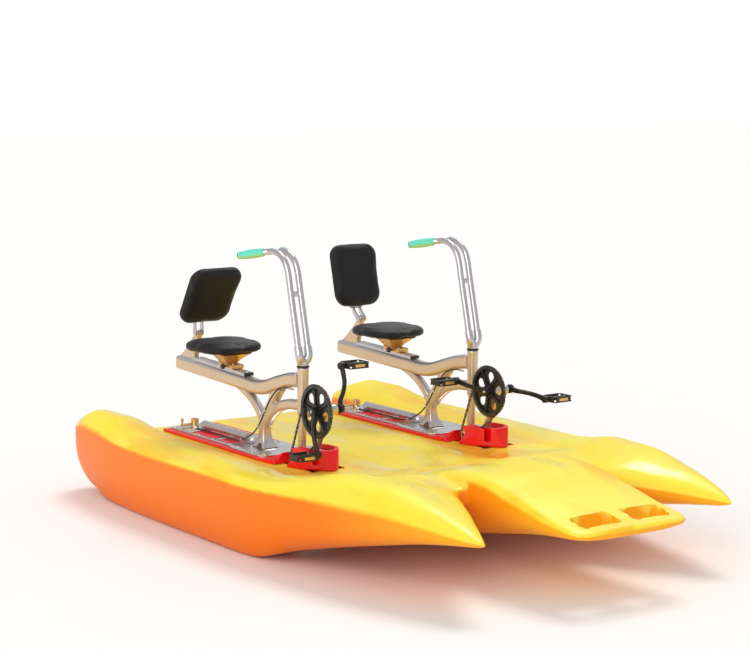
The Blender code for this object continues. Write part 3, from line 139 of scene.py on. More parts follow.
# ---------------------------------------------------------------- shader kit
class Link:
    """A shader socket that takes part in Python sums."""

    def __init__(self, shade, socket):
        self.shade = shade
        self.socket = socket

    def maths(self, operation, first, second):
        return self.shade.node("ShaderNodeMath", {"operation": operation}, {0: first, 1: second})

    def __add__(self, other):
        return self.maths("ADD", self, other)

    def __radd__(self, other):
        return self.maths("ADD", other, self)

    def __sub__(self, other):
        return self.maths("SUBTRACT", self, other)

    def __rsub__(self, other):
        return self.maths("SUBTRACT", other, self)

    def __mul__(self, other):
        return self.maths("MULTIPLY", self, other)

    def __rmul__(self, other):
        return self.maths("MULTIPLY", other, self)

    def __pow__(self, other):
        return self.maths("POWER", self, other)


class Shade:
    """One material and the few ways that its nodes are added."""

    def __init__(self, name, roughness=0.5, metallic=0.0, **settings):
        self.material = bpy.data.materials.new(name)
        self.material.use_nodes = True
        self.tree = self.material.node_tree
        self.shader = self.tree.nodes["Principled BSDF"]
        self.shader.inputs["Roughness"].default_value = roughness
        self.shader.inputs["Metallic"].default_value = metallic
        for key, value in settings.items():
            self.shader.inputs[key.replace("_", " ").title().replace("Ior", "IOR")].default_value = value
        self.place = self.node("ShaderNodeTexCoord", output="Object")

    def node(self, kind, settings=None, inputs=None, output=0):
        made = self.tree.nodes.new(kind)
        for key, value in (settings or {}).items():
            if key == "stops":
                self.set_stops(made.color_ramp, value)
            else:
                setattr(made, key, value)
        for key, value in (inputs or {}).items():
            if isinstance(value, Link):
                self.tree.links.new(value.socket, made.inputs[key])
            else:
                made.inputs[key].default_value = value
        return Link(self, made.outputs[output])

    def set_stops(self, ramp, stops):
        for i, (place, colour) in enumerate(stops):
            stop = ramp.elements[i] if i < 2 else ramp.elements.new(place)
            stop.position = place
            stop.color = colour

    def stretch(self, scale, rotation=(0.0, 0.0, 0.0)):
        settings = {"Vector": self.place, "Scale": scale, "Rotation": rotation}
        return self.node("ShaderNodeMapping", inputs=settings)

    def noise(self, scale, detail=3.0, where=None, roughness=0.5):
        inputs = {"Vector": where or self.place, "Scale": scale, "Detail": detail, "Roughness": roughness}
        return self.node("ShaderNodeTexNoise", {"noise_dimensions": "3D"}, inputs)

    def cells(self, scale, feature="F1"):
        inputs = {"Vector": self.place, "Scale": scale}
        return self.node("ShaderNodeTexVoronoi", {"feature": feature}, inputs)

    def between(self, value, low, high):
        """0 below low and 1 above high, smooth in between."""
        inputs = {"Value": value, "From Min": low, "From Max": high}
        return self.node("ShaderNodeMapRange", {"interpolation_type": "SMOOTHSTEP"}, inputs)

    def mix(self, share, first, second, blend="MIX"):
        inputs = {0: share, 6: self.colour(first), 7: self.colour(second)}
        settings = {"data_type": "RGBA", "blend_type": blend}
        return self.node("ShaderNodeMix", settings, inputs, output=2)

    def colour(self, value):
        return value if isinstance(value, Link) else (*tuple(value)[:3], 1.0)

    def upward(self):
        """How far the surface faces up, from -1 to 1."""
        normal = self.node("ShaderNodeNewGeometry", output="Normal")
        return self.node("ShaderNodeSeparateXYZ", inputs={0: normal}, output=2)

    def along(self):
        return self.node("ShaderNodeSeparateXYZ", inputs={0: self.place}, output=0)

    def height(self):
        return self.node("ShaderNodeSeparateXYZ", inputs={0: self.place}, output=2)

    def paint(self, socket, value):
        target = self.shader.inputs[socket]
        if isinstance(value, Link):
            self.tree.links.new(value.socket, target)
        else:
            target.default_value = self.colour(value) if socket == "Base Color" else value

    def bump(self, height, depth, strength=1.0):
        inputs = {"Height": height, "Distance": depth, "Strength": strength}
        self.paint("Normal", self.node("ShaderNodeBump", inputs=inputs))


def look():
    return bpy.context.scene.pedal_boat_look


def sizes():
    return bpy.context.scene.pedal_boat_sizes


def shade_of(colour, share):
    """A colour made lighter (share over 1) or darker."""
    return tuple(min(1.0, c * share) for c in colour)


def moulded_hull():
    """Glossy moulded plastic with painted light and shade: bright on top, deep orange on the shaded sides, painted
    shade in the deck's ripples and painted glare on flat tops, with damp and scuffs.
    """
    s = Shade("hull_plastic", 0.36, specular_ior_level=0.22, coat_roughness=0.12)
    up = s.upward()
    drift = s.noise(2.2, 3.0)
    # painted light and shade: facing picks the lit top colour on faces turned up and the shaded side colour on faces
    # turned aside and down
    facing = s.between(up + (drift - 0.5) * 0.22, 0.06, 0.46)
    # painted shade: the sides grow darker towards the bottom
    low = s.between(s.height(), 0.02, 0.27)
    shaded_flank = s.mix(low, shade_of(look().hull_shaded_side, 0.86), look().hull_shaded_side)
    # painted shade on the sides, made lighter towards the bow
    side = s.mix(s.between(s.along(), 0.45, 1.30), shaded_flank, (1.0, 0.43, 0.011))
    streaks = s.noise(2.4, 5.0, s.stretch((0.55, 1.9, 1.0), (0.0, 0.0, 0.35)), 0.55)
    # painted shade: deeper orange in the valleys of the deck ripples that the same streaks raise in the bump
    ripple_shade_mask = s.between(streaks, 0.52, 0.66)
    ripple_shaded_top = s.mix(ripple_shade_mask * 0.60, look().hull_lit_top, (1.0, 0.50, 0.012))
    # painted highlight: paler yellow patches of glare on faces turned straight up
    painted_glare = s.between(s.noise(1.3, 2.0), 0.50, 0.72) * s.between(up, 0.80, 0.99)
    top = s.mix(painted_glare * 0.6, ripple_shaded_top, (1.0, 0.93, 0.13))
    base = s.mix(facing, side, top)
    scuff = s.between(s.noise(26.0, 6.0, s.stretch((0.25, 2.0, 2.0)), 0.7), 0.66, 0.74)
    worn = scuff * (1.0 - s.between(s.height(), 0.03, 0.16))
    s.paint("Base Color", s.mix(worn * 0.35, base, (0.95, 0.52, 0.22)))
    damp = s.between(s.noise(3.4, 4.0, s.stretch((0.7, 1.5, 1.0))), 0.46, 0.60) * facing
    s.paint("Roughness", 0.38 - damp * 0.20 + scuff * 0.10 + (s.noise(60.0) - 0.5) * 0.05)
    s.paint("Coat Weight", damp * 0.45)
    peel = s.noise(95.0, 2.0) * 0.35 + s.noise(420.0, 2.0) * 0.12 + streaks * 1.2 * facing
    s.bump(peel, 0.0030, 0.32)
    return s.material


def moulded_base():
    """The drive bases' red plastic with a fine skin and scratches."""
    s = Shade("drive_base_plastic", 0.30, ior=1.5)
    cloud = s.noise(9.0, 4.0)
    scratch = s.between(s.noise(40.0, 5.0, s.stretch((0.15, 2.5, 2.5)), 0.7), 0.64, 0.72)
    base = s.mix(cloud, shade_of(look().base, 0.82), shade_of(look().base, 1.12))
    s.paint("Base Color", s.mix(scratch * 0.25, base, (0.95, 0.20, 0.16)))
    s.paint("Roughness", 0.27 + cloud * 0.10 + scratch * 0.18)
    s.bump(s.noise(180.0, 2.0) + scratch * 0.6, 0.0008, 0.35)
    return s.material


def satin_metal(name, cool, reflected_warm, reach=(-0.05, 0.62), roughness=0.30):
    """Satin aluminium: fine grain, finger marks, and a painted reflection of the yellow hull on its sides and
    undersides.
    """
    s = Shade(name, roughness, 0.9)
    up = s.between(s.upward(), *reach)
    cloud = s.noise(14.0, 4.0)
    grain = s.noise(160.0, 3.0, s.stretch((0.08, 1.0, 1.0)), 0.7)
    speck = s.between(s.noise(310.0, 2.0), 0.68, 0.76)
    # painted reflection: the hull's orange-gold light on sides and undersides, the cool metal colour on faces turned
    # up
    tint = s.mix(up, reflected_warm, cool)
    tint = s.mix(cloud * 0.30, tint, shade_of(cool, 1.30))
    s.paint("Base Color", s.mix(speck * 0.30, tint, (0.24, 0.21, 0.19)))
    s.paint("Metallic", 0.62 + 0.28 * up)
    s.paint("Roughness", roughness + (cloud - 0.5) * 0.16 + (grain - 0.5) * 0.12)
    s.bump(grain + speck * 0.4, 0.0006, 0.30)
    return s.material


def bronze_metal():
    # painted reflection: a deeper orange bronze on sides and undersides, from the yellow hull
    return satin_metal("bronze_metal", (0.60, 0.42, 0.22), (0.78, 0.42, 0.12), roughness=0.34)


def black_enamel():
    """Semi-gloss black on cranks and chainring, rubbed through in specks."""
    s = Shade("black_enamel", 0.28, 0.25, coat_roughness=0.1)
    cloud = s.noise(22.0, 4.0)
    rub = s.between(s.noise(120.0, 6.0, None, 0.72), 0.655, 0.72)
    base = s.mix(cloud, (0.008, 0.007, 0.007), (0.026, 0.021, 0.019))
    s.paint("Base Color", s.mix(rub * 0.6, base, (0.20, 0.13, 0.09)))
    s.paint("Roughness", 0.22 + cloud * 0.18 + rub * 0.2)
    s.bump(s.noise(260.0, 2.0) - rub * 0.5, 0.0005, 0.35)
    return s.material


def chain_steel(name="chain_steel", bright=(0.42, 0.38, 0.34)):
    """Oiled steel: dark in the joints, worn bright on the plates."""
    s = Shade(name, 0.34, 0.85)
    worn = s.between(s.noise(150.0, 4.0), 0.42, 0.60)
    oil = s.noise(34.0, 3.0)
    s.paint("Base Color", s.mix(worn, (0.06, 0.05, 0.045), bright))
    s.paint("Roughness", 0.22 + oil * 0.26)
    s.bump(s.noise(500.0, 2.0), 0.0003, 0.3)
    return s.material


def zinc_fixings():
    """Bright zinc on bolts, washers and pins."""
    s = Shade("zinc_fixings", 0.24, 1.0)
    cloud = s.noise(90.0, 3.0)
    s.paint("Base Color", s.mix(cloud, (0.50, 0.49, 0.47), (0.80, 0.80, 0.82)))
    s.paint("Roughness", 0.18 + cloud * 0.18)
    s.bump(s.noise(700.0, 2.0), 0.0002, 0.3)
    return s.material


def pad_vinyl():
    """Black upholstery vinyl: pressed grain, soft sheen and a painted highlight on its upward faces."""
    s = Shade("pad_vinyl", 0.40, ior=1.36, sheen_weight=0.05, sheen_roughness=0.4)
    grain = s.cells(420.0, "DISTANCE_TO_EDGE")
    pebble = s.between(grain, 0.0, 0.28)
    cloud = s.noise(7.0, 4.0)
    up = s.between(s.upward(), 0.15, 0.95)
    base = s.mix(cloud, shade_of(look().pad, 0.72), shade_of(look().pad, 1.5))
    # painted highlight: a lighter, bluish tone on faces turned up
    s.paint("Base Color", s.mix(up * 0.30, base, (0.030, 0.031, 0.038)))
    s.paint("Roughness", 0.33 + cloud * 0.14 + (1.0 - pebble) * 0.08)
    s.bump(pebble + s.noise(28.0, 3.0) * 0.8, 0.0007, 0.42)
    return s.material


def grip_rubber():
    """Soft mint rubber with a fine cross pattern, painted yellow-green below as a painted reflection of the yellow
    hull.
    """
    s = Shade("grip_rubber", 0.48, ior=1.5)
    # painted reflection: yellow-green light from the hull painted on faces turned down
    under = 1.0 - s.between(s.upward(), -0.55, 0.05)
    cloud = s.noise(60.0, 3.0)
    base = s.mix(cloud, shade_of(look().grip, 0.85), shade_of(look().grip, 1.15))
    s.paint("Base Color", s.mix(under * 0.75, base, (0.46, 0.62, 0.10)))
    s.paint("Roughness", 0.40 + cloud * 0.16)
    s.bump(s.cells(520.0), 0.0006, 0.45)
    return s.material


def black_rubber():
    s = Shade("black_rubber", 0.62)
    cloud = s.noise(80.0, 4.0)
    s.paint("Base Color", s.mix(cloud, (0.010, 0.010, 0.010), (0.040, 0.038, 0.036)))
    s.paint("Roughness", 0.50 + cloud * 0.24)
    s.bump(s.noise(420.0, 3.0), 0.0004, 0.4)
    return s.material


def black_nylon():
    """Glass-filled nylon on pedals and rudders: rough skin with pale scuffs."""
    s = Shade("black_nylon", 0.42)
    cloud = s.noise(50.0, 4.0)
    scuff = s.between(s.noise(210.0, 6.0, None, 0.75), 0.64, 0.70)
    base = s.mix(cloud, (0.010, 0.009, 0.009), (0.034, 0.028, 0.024))
    s.paint("Base Color", s.mix(scuff * 0.5, base, (0.17, 0.13, 0.10)))
    s.paint("Roughness", 0.30 + cloud * 0.22 + scuff * 0.15)
    s.bump(s.noise(600.0, 2.0) + scuff * 0.5, 0.0004, 0.4)
    return s.material


def polished_plate():
    """The bright plate on the base: rolled grain, scratches and water marks."""
    s = Shade("polished_plate", 0.22, 1.0)
    grain = s.noise(120.0, 3.0, s.stretch((0.05, 1.4, 1.0)), 0.65)
    spots = s.between(s.cells(70.0), 0.0, 0.35)
    cloud = s.noise(11.0, 3.0)
    s.paint("Base Color", s.mix(cloud, (0.62, 0.60, 0.63), (0.86, 0.85, 0.88)))
    s.paint("Roughness", 0.16 + cloud * 0.14 + (1.0 - spots) * 0.06 + (grain - 0.5) * 0.08)
    s.bump(grain, 0.0004, 0.25)
    return s.material


def studio_floor():
    s = Shade("studio_floor", 0.9)
    cloud = s.noise(1.2, 2.0)
    s.paint("Base Color", s.mix(cloud, (0.93, 0.93, 0.93), (0.96, 0.96, 0.96)))
    s.bump(s.noise(40.0, 2.0), 0.0005, 0.1)
    return s.material


FINISHES = {}
MAKERS = {
    "hull": moulded_hull,
    "base": moulded_base,
    # frame and bar both carry a painted reflection of the hull on their sides and undersides, weaker on the bars
    "frame": lambda: satin_metal("frame_aluminium", look().metal, look().frame_reflected_warm),
    "bar": lambda: satin_metal("bar_aluminium", look().metal, (0.72, 0.58, 0.48), (-0.9, 0.2)),
    "plate": polished_plate,
    "bronze": bronze_metal,
    "enamel": black_enamel,
    "chain": chain_steel,
    "zinc": zinc_fixings,
    "vinyl": pad_vinyl,
    "grip": grip_rubber,
    "rubber": black_rubber,
    "nylon": black_nylon,
    "floor": studio_floor,
}


def finish(name):
    if name not in FINISHES:
        FINISHES[name] = MAKERS[name]()
    return FINISHES[name]


# ---------------------------------------------------------------- mesh kit
def smooth_line(points, pieces=6):
    """Points along a Catmull-Rom curve through the given ones."""
    knots = [Vector(p) for p in points]
    knots = [2 * knots[0] - knots[1], *knots, 2 * knots[-1] - knots[-2]]
    line = []
    for a, b, c, d in zip(knots, knots[1:], knots[2:], knots[3:]):
        for i in range(pieces):
            t = i / pieces
            bend = (2 * a - 5 * b + 4 * c - d) * t * t + (3 * b - a - 3 * c + d) * t**3
            line.append(0.5 * (2 * b + (c - a) * t + bend))
    line.append(knots[-2])
    return line


def round_section(radius, steps=24):
    return [(radius * math.cos(2 * math.pi * i / steps), radius * math.sin(2 * math.pi * i / steps))
            for i in range(steps)]


def soft_rectangle(width, height, corner, per_corner=5):
    outline = []
    for quarter, (sx, sy) in enumerate(((1, 1), (-1, 1), (-1, -1), (1, -1))):
        for i in range(per_corner + 1):
            angle = math.radians(90 * quarter + 90 * i / per_corner)
            x = sx * (width / 2 - corner) + corner * math.cos(angle)
            outline.append((x, sy * (height / 2 - corner) + corner * math.sin(angle)))
    return outline


def skin(shape, rings, closed=False):
    """Faces between a row of rings of points, with the ends capped unless the row is closed."""
    count = len(rings[0])
    pairs = list(zip(rings, rings[1:])) + ([(rings[-1], rings[0])] if closed else [])
    for near, far in pairs:
        for i in range(count):
            j = (i + 1) % count
            shape.faces.new((near[i], near[j], far[j], far[i]))
    if not closed:
        shape.faces.new(list(reversed(rings[0])))
        shape.faces.new(rings[-1])


def sweep(shape, path, section, scales=None, side=None, closed=False):
    """A section carried along a path.  side holds the section's first axis steady."""
    count = len(path)
    rings = []
    steady = Vector(side) if side else None
    across = steady
    for i, point in enumerate(path):
        after = path[(i + 1) % count] if closed else path[min(i + 1, count - 1)]
        before = path[i - 1] if closed or i else path[0]
        ahead = (Vector(after) - Vector(before)).normalized()
        guide = steady or across or ahead.orthogonal()
        across = (guide - guide.dot(ahead) * ahead).normalized()
        up = ahead.cross(across)
        a, b = scales[i] if scales else (1.0, 1.0)
        rings.append([shape.verts.new(Vector(point) + across * (u * a) + up * (v * b)) for u, v in section])
    skin(shape, rings, closed)


def pipe(shape, path, radius, steps=20, closed=False):
    sweep(shape, path, round_section(radius, steps), closed=closed)


def lathe(shape, profile, steps=32, place=None):
    """A turned form about local Z, then moved to its place.  Ends on the axis are single points."""
    place = place or Matrix.Identity(4)
    rows = []
    for radius, z in profile:
        if radius < 1e-6:
            rows.append([shape.verts.new(place @ Vector((0, 0, z)))])
            continue
        row = []
        for i in range(steps):
            angle = 2 * math.pi * i / steps
            row.append(shape.verts.new(place @ Vector((radius * math.cos(angle), radius * math.sin(angle), z))))
        rows.append(row)
    for near, far in zip(rows, rows[1:]):
        for i in range(steps):
            j = (i + 1) % steps
            corners = [near[i % len(near)], near[j % len(near)], far[j % len(far)], far[i % len(far)]]
            corners = list(dict.fromkeys(corners))
            if len(corners) > 2:
                shape.faces.new(corners)


def washer(shape, outer, inner, low, high, steps=32, place=None):
    """A ring with a square section and eased edges."""
    ease = min(0.0006, (high - low) / 4, (outer - inner) / 4)
    profile = [(outer - ease, high), (outer, high - ease), (outer, low + ease), (outer - ease, low),
               (inner + ease, low), (inner, low + ease), (inner, high - ease), (inner + ease, high)]
    place = place or Matrix.Identity(4)
    rings = []
    for i in range(steps):
        angle = 2 * math.pi * i / steps
        c, s = math.cos(angle), math.sin(angle)
        rings.append([shape.verts.new(place @ Vector((r * c, r * s, z))) for r, z in profile])
    skin(shape, rings, closed=True)


def block(shape, low, high, ease=0.0, place=None):
    """A block between two corners with eased edges."""
    low, high = Vector(low), Vector(high)
    size = high - low
    matrix = Matrix.Translation((low + high) / 2) @ Matrix.Diagonal((*size, 1.0))
    part = bmesh.new()
    bmesh.ops.create_cube(part, size=1.0, matrix=matrix)
    if ease:
        bmesh.ops.bevel(part, geom=part.edges[:], offset=ease, segments=2, profile=0.6, affect="EDGES")
    take(shape, part, place)


def take(shape, part, place=None):
    """Adds one working mesh to another and frees it."""
    mesh = bpy.data.meshes.new("part")
    bmesh.ops.recalc_face_normals(part, faces=part.faces[:])
    part.to_mesh(mesh)
    part.free()
    if place:
        mesh.transform(place)
    shape.from_mesh(mesh)
    bpy.data.meshes.remove(mesh)


def slab(shape, outlines, thickness, ease=0.0, place=None, steps=2):
    """A flat piece from outlines in its own XY plane: the first is its edge, the others its holes."""
    data = bpy.data.curves.new("outline", "CURVE")
    data.dimensions = "2D"
    for points in outlines:
        spline = data.splines.new("POLY")
        spline.points.add(len(points) - 1)
        for target, (x, y) in zip(spline.points, points):
            target.co = (x, y, 0.0, 1.0)
        spline.use_cyclic_u = True
    data.fill_mode = "BOTH"
    data.extrude = thickness / 2 - ease
    data.bevel_depth = ease
    data.bevel_resolution = steps if ease else 0
    data.offset = -ease
    item = bpy.data.objects.new("outline", data)
    bpy.context.scene.collection.objects.link(item)
    graph = bpy.context.evaluated_depsgraph_get()
    mesh = bpy.data.meshes.new_from_object(item.evaluated_get(graph))
    bpy.data.objects.remove(item, do_unlink=True)
    part = bmesh.new()
    part.from_mesh(mesh)
    bmesh.ops.remove_doubles(part, verts=part.verts[:], dist=0.00002)
    bpy.data.meshes.remove(mesh)
    take(shape, part, place)


def as_piece(shape, name, place=None):
    """A linked object from a working mesh."""
    bmesh.ops.remove_doubles(shape, verts=shape.verts[:], dist=0.000001)
    bmesh.ops.recalc_face_normals(shape, faces=shape.faces[:])
    mesh = bpy.data.meshes.new(name)
    shape.to_mesh(mesh)
    shape.free()
    if place:
        mesh.transform(place)
    item = bpy.data.objects.new(name, mesh)
    bpy.context.scene.collection.objects.link(item)
    return item


def bake(item):
    """Fixes an object's modifiers into its mesh."""
    graph = bpy.context.evaluated_depsgraph_get()
    graph.update()
    old = item.data
    mesh = bpy.data.meshes.new_from_object(item.evaluated_get(graph))
    item.modifiers.clear()
    item.data = mesh
    bpy.data.meshes.remove(old)
    mesh.name = item.name
    return item


def subtract(item, tool):
    step = item.modifiers.new("cut", "BOOLEAN")
    step.operation = "DIFFERENCE"
    step.solver = "EXACT"
    step.object = tool
    bake(item)
    bpy.data.objects.remove(tool, do_unlink=True)


def keep(item, tool):
    step = item.modifiers.new("keep", "BOOLEAN")
    step.operation = "INTERSECT"
    step.solver = "EXACT"
    step.object = tool
    bake(item)
    bpy.data.objects.remove(tool, do_unlink=True)


def melt(item, cell, rounds):
    """Skins overlapping forms as one casting and rounds its edges."""
    cover = item.modifiers.new("skin", "REMESH")
    cover.mode = "VOXEL"
    cover.voxel_size = cell
    cover.use_smooth_shade = True
    if rounds:
        soft = item.modifiers.new("round", "SMOOTH")
        soft.factor = 0.5
        soft.iterations = rounds
    return bake(item)


def settle(item, material, body, nodes=(), angle=38.0):
    """Gives a finished piece its finish, the body it moves with and the nodes it stands for."""
    item.data.materials.clear()
    item.data.materials.append(finish(material))
    item.data.shade_smooth()
    item.data.set_sharp_from_angle(angle=math.radians(angle))
    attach(item, body)
    if nodes:
        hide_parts(*nodes)
    return item


# ---------------------------------------------------------------- geometry nodes kit
def new_tree(name, inputs):
    tree = bpy.data.node_groups.new(name, "GeometryNodeTree")
    tree.interface.new_socket("Geometry", in_out="INPUT", socket_type="NodeSocketGeometry")
    for label, kind in inputs:
        tree.interface.new_socket(label, in_out="INPUT", socket_type=kind)
    tree.interface.new_socket("Geometry", in_out="OUTPUT", socket_type="NodeSocketGeometry")
    return tree


def wire(tree, kind, settings=None, inputs=None):
    made = tree.nodes.new(kind)
    for key, value in (settings or {}).items():
        setattr(made, key, value)
    for key, value in (inputs or {}).items():
        if isinstance(value, bpy.types.NodeSocket):
            tree.links.new(value, made.inputs[key])
        else:
            made.inputs[key].default_value = value
    return made


def finish_tree(tree, source, copies):
    real = wire(tree, "GeometryNodeRealizeInstances", inputs={"Geometry": copies})
    paint = wire(tree, "GeometryNodeSetMaterial", inputs={
        "Geometry": real.outputs[0], "Material": source.outputs["Finish"]})
    wire(tree, "NodeGroupOutput", inputs={0: paint.outputs[0]})


def path_tree():
    """Copies of two pieces, in turn, along a path, each lying along it."""
    tree = new_tree("row_along_path", [
        ("Count", "NodeSocketInt"), ("Scale", "NodeSocketFloat"), ("Even Piece", "NodeSocketObject"),
        ("Odd Piece", "NodeSocketObject"), ("Finish", "NodeSocketMaterial")])
    source = wire(tree, "NodeGroupInput")
    line = wire(tree, "GeometryNodeMeshToCurve", inputs={0: source.outputs[0]})
    even = wire(tree, "GeometryNodeResampleCurve", inputs={
        "Curve": line.outputs[0], "Count": source.outputs["Count"]})
    tangent = wire(tree, "GeometryNodeInputTangent")
    facing = wire(tree, "FunctionNodeAlignRotationToVector", {"axis": "X", "pivot_axis": "AUTO"}, {
        "Vector": tangent.outputs[0]})
    index = wire(tree, "GeometryNodeInputIndex")
    parity = wire(tree, "FunctionNodeIntegerMath", {"operation": "MODULO"}, {0: index.outputs[0], 1: 2})
    other = wire(tree, "FunctionNodeBooleanMath", {"operation": "NOT"}, {0: parity.outputs[0]})
    both = wire(tree, "GeometryNodeJoinGeometry")
    for label, chosen in (("Even Piece", other.outputs[0]), ("Odd Piece", parity.outputs[0])):
        shape = wire(tree, "GeometryNodeObjectInfo", inputs={"Object": source.outputs[label]})
        copies = wire(tree, "GeometryNodeInstanceOnPoints", inputs={
            "Points": even.outputs[0], "Selection": chosen, "Instance": shape.outputs["Geometry"],
            "Rotation": facing.outputs[0], "Scale": source.outputs["Scale"]})
        tree.links.new(copies.outputs[0], both.inputs[0])
    finish_tree(tree, source, both.outputs[0])
    return tree


def spot_tree():
    """Copies of one piece on points that carry their own turn."""
    tree = new_tree("pieces_on_points", [
        ("Scale", "NodeSocketFloat"), ("Piece", "NodeSocketObject"), ("Finish", "NodeSocketMaterial")])
    source = wire(tree, "NodeGroupInput")
    aim = wire(tree, "GeometryNodeInputNamedAttribute", {"data_type": "FLOAT_VECTOR"}, {"Name": "aim"})
    facing = wire(tree, "FunctionNodeEulerToRotation", inputs={0: aim.outputs[0]})
    shape = wire(tree, "GeometryNodeObjectInfo", inputs={"Object": source.outputs["Piece"]})
    copies = wire(tree, "GeometryNodeInstanceOnPoints", inputs={
        "Points": source.outputs[0], "Instance": shape.outputs["Geometry"],
        "Rotation": facing.outputs[0], "Scale": source.outputs["Scale"]})
    finish_tree(tree, source, copies.outputs[0])
    return tree


TREES = {}


def tree_for(name, maker):
    if name not in TREES:
        TREES[name] = maker()
    return TREES[name]


def run_tree(item, tree, values):
    """Runs a tree on an object with its inputs given by name, and fixes the result."""
    step = item.modifiers.new("pattern", "NODES")
    step.node_group = tree
    for entry in tree.interface.items_tree:
        if entry.item_type == "SOCKET" and entry.in_out == "INPUT" and entry.name in values:
            step[entry.identifier] = values[entry.name]
    return bake(item)


def template(name, shape):
    """A small hidden piece for a tree to copy."""
    item = as_piece(shape, name)
    item.hide_render = True
    return item


def row_on_path(name, points, count, even, odd, material, closed=True, scale=1.0):
    """Pieces laid along a path by the path tree."""
    mesh = bpy.data.meshes.new(name)
    edges = [(i, i + 1) for i in range(len(points) - 1)]
    if closed:
        edges.append((len(points) - 1, 0))
    mesh.from_pydata([tuple(p) for p in points], edges, [])
    item = bpy.data.objects.new(name, mesh)
    bpy.context.scene.collection.objects.link(item)
    values = {"Count": count, "Scale": scale, "Even Piece": even, "Odd Piece": odd,
              "Finish": finish(material)}
    run_tree(item, tree_for("path", path_tree), values)
    for piece in {even, odd}:
        bpy.data.objects.remove(piece, do_unlink=True)
    return item


def spots(name, places, piece, material, scale=1.0):
    """Pieces set on points by the spot tree.  Each place is a point and a turn."""
    mesh = bpy.data.meshes.new(name)
    mesh.from_pydata([tuple(p) for p, aim in places], [], [])
    aim_values = mesh.attributes.new("aim", "FLOAT_VECTOR", "POINT")
    for value, (point, aim) in zip(aim_values.data, places):
        value.vector = aim
    item = bpy.data.objects.new(name, mesh)
    bpy.context.scene.collection.objects.link(item)
    run_tree(item, tree_for("spot", spot_tree), {"Scale": scale, "Piece": piece, "Finish": finish(material)})
    bpy.data.objects.remove(piece, do_unlink=True)
    return item


def bolt_template():
    """A button-head bolt on its washer, standing along Z."""
    shape = bmesh.new()
    lathe(shape, [(0.0, 0.0012), (0.0062, 0.0012), (0.0066, 0.0006), (0.0066, 0.0), (0.0, 0.0)], 16)
    lathe(shape, [(0.0, 0.0030), (0.0014, 0.0030), (0.0018, 0.0046), (0.0034, 0.0042), (0.0044, 0.0028),
                  (0.0046, 0.0013), (0.0, 0.0011)], 12)
    return template("bolt_form", shape)


def fixings(name, drive, frame_name, places, body, scale=1.0, material="zinc"):
    """Bolts on a drive, at places given in one of its own frames."""
    item = spots(name, places, bolt_template(), material, scale)
    item.data.transform(drive.at[frame_name])
    return settle(item, material, body)


# ---------------------------------------------------------------- one drive's places
class Drive:
    """Where everything on one drive stands at rest."""

    def __init__(self, name, side, crank_angle, lean):
        self.name = name
        root = move(DRIVE_X, side * DRIVE_Y, BRACKET_HEIGHT)
        reach = Vector((math.sin(crank_angle), 0.0, -math.cos(crank_angle))) * CRANK_LENGTH
        rail_x = -1.165 + 0.150
        rail_z = 0.047 + 0.150 * math.tan(BEAM_SLOPE) + 0.0303 / math.cos(BEAM_SLOPE)
        slide_z = rail_z + (-0.735 - rail_x) * math.tan(BEAM_SLOPE)
        tilt = turn(-BEAM_SLOPE, "Y")
        self.at = {
            "root": root,
            "rail": root @ move(rail_x, 0, rail_z) @ tilt,
            "slide": root @ move(-0.735, 0, slide_z) @ tilt,
            "seat": root @ move(-0.790, 0, 0.140),
            "back": root @ move(BACK_HINGE[0], 0, BACK_HINGE[1]) @ turn(lean, "Y"),
            "steer": root @ move(HEAD_X),
            "crank": root @ turn(-crank_angle, "Y"),
            "crank_back": root @ turn(math.pi - crank_angle, "Y"),
            "pedal_right": root @ Matrix.Translation(reach),
            "pedal_left": root @ Matrix.Translation(-reach),
            "sprocket": root @ move(SPROCKET_AT[0], 0, SPROCKET_AT[1]),
            "propeller": root @ move(POD_REAR - 0.001, 0, POD_DROP),
            "rudder": root @ move(RUDDER_X),
        }

    def node(self, word):
        return self.name + "_" + word

    def body(self, word):
        return self.name + "_" + word + "_body"


DRIVES = [
    Drive("stbd", -1.0, math.radians(24.0), math.radians(33.0)),
    Drive("port", 1.0, math.radians(-99.0), math.radians(-12.0)),
]


# ---------------------------------------------------------------- hull
def line_through(points):
    """A smooth function of x through a few points, flat beyond its ends."""
    xs = [p[0] for p in points]
    ys = [p[1] for p in points]
    steps = [(ys[i + 1] - ys[i]) / (xs[i + 1] - xs[i]) for i in range(len(xs) - 1)]
    slopes = [steps[0]]
    for before, after in zip(steps, steps[1:]):
        slopes.append(0.0 if before * after <= 0 else 2 * before * after / (before + after))
    slopes.append(steps[-1])

    def value(x):
        x = min(max(x, xs[0]), xs[-1])
        i = max(k for k in range(len(xs) - 1) if xs[k] <= x or k == 0)
        span = xs[i + 1] - xs[i]
        t = (x - xs[i]) / span
        return (ys[i] * (1 + 2 * t) * (1 - t) ** 2 + slopes[i] * span * t * (1 - t) ** 2
                + ys[i + 1] * t * t * (3 - 2 * t) + slopes[i + 1] * span * t * t * (t - 1))

    return value


def hull_line(points):
    return line_through([(x * HALF_LENGTH, y * HALF_BEAM) for x, y in points])


def height_line(points):
    return line_through([(x * HALF_LENGTH, z) for x, z in points])


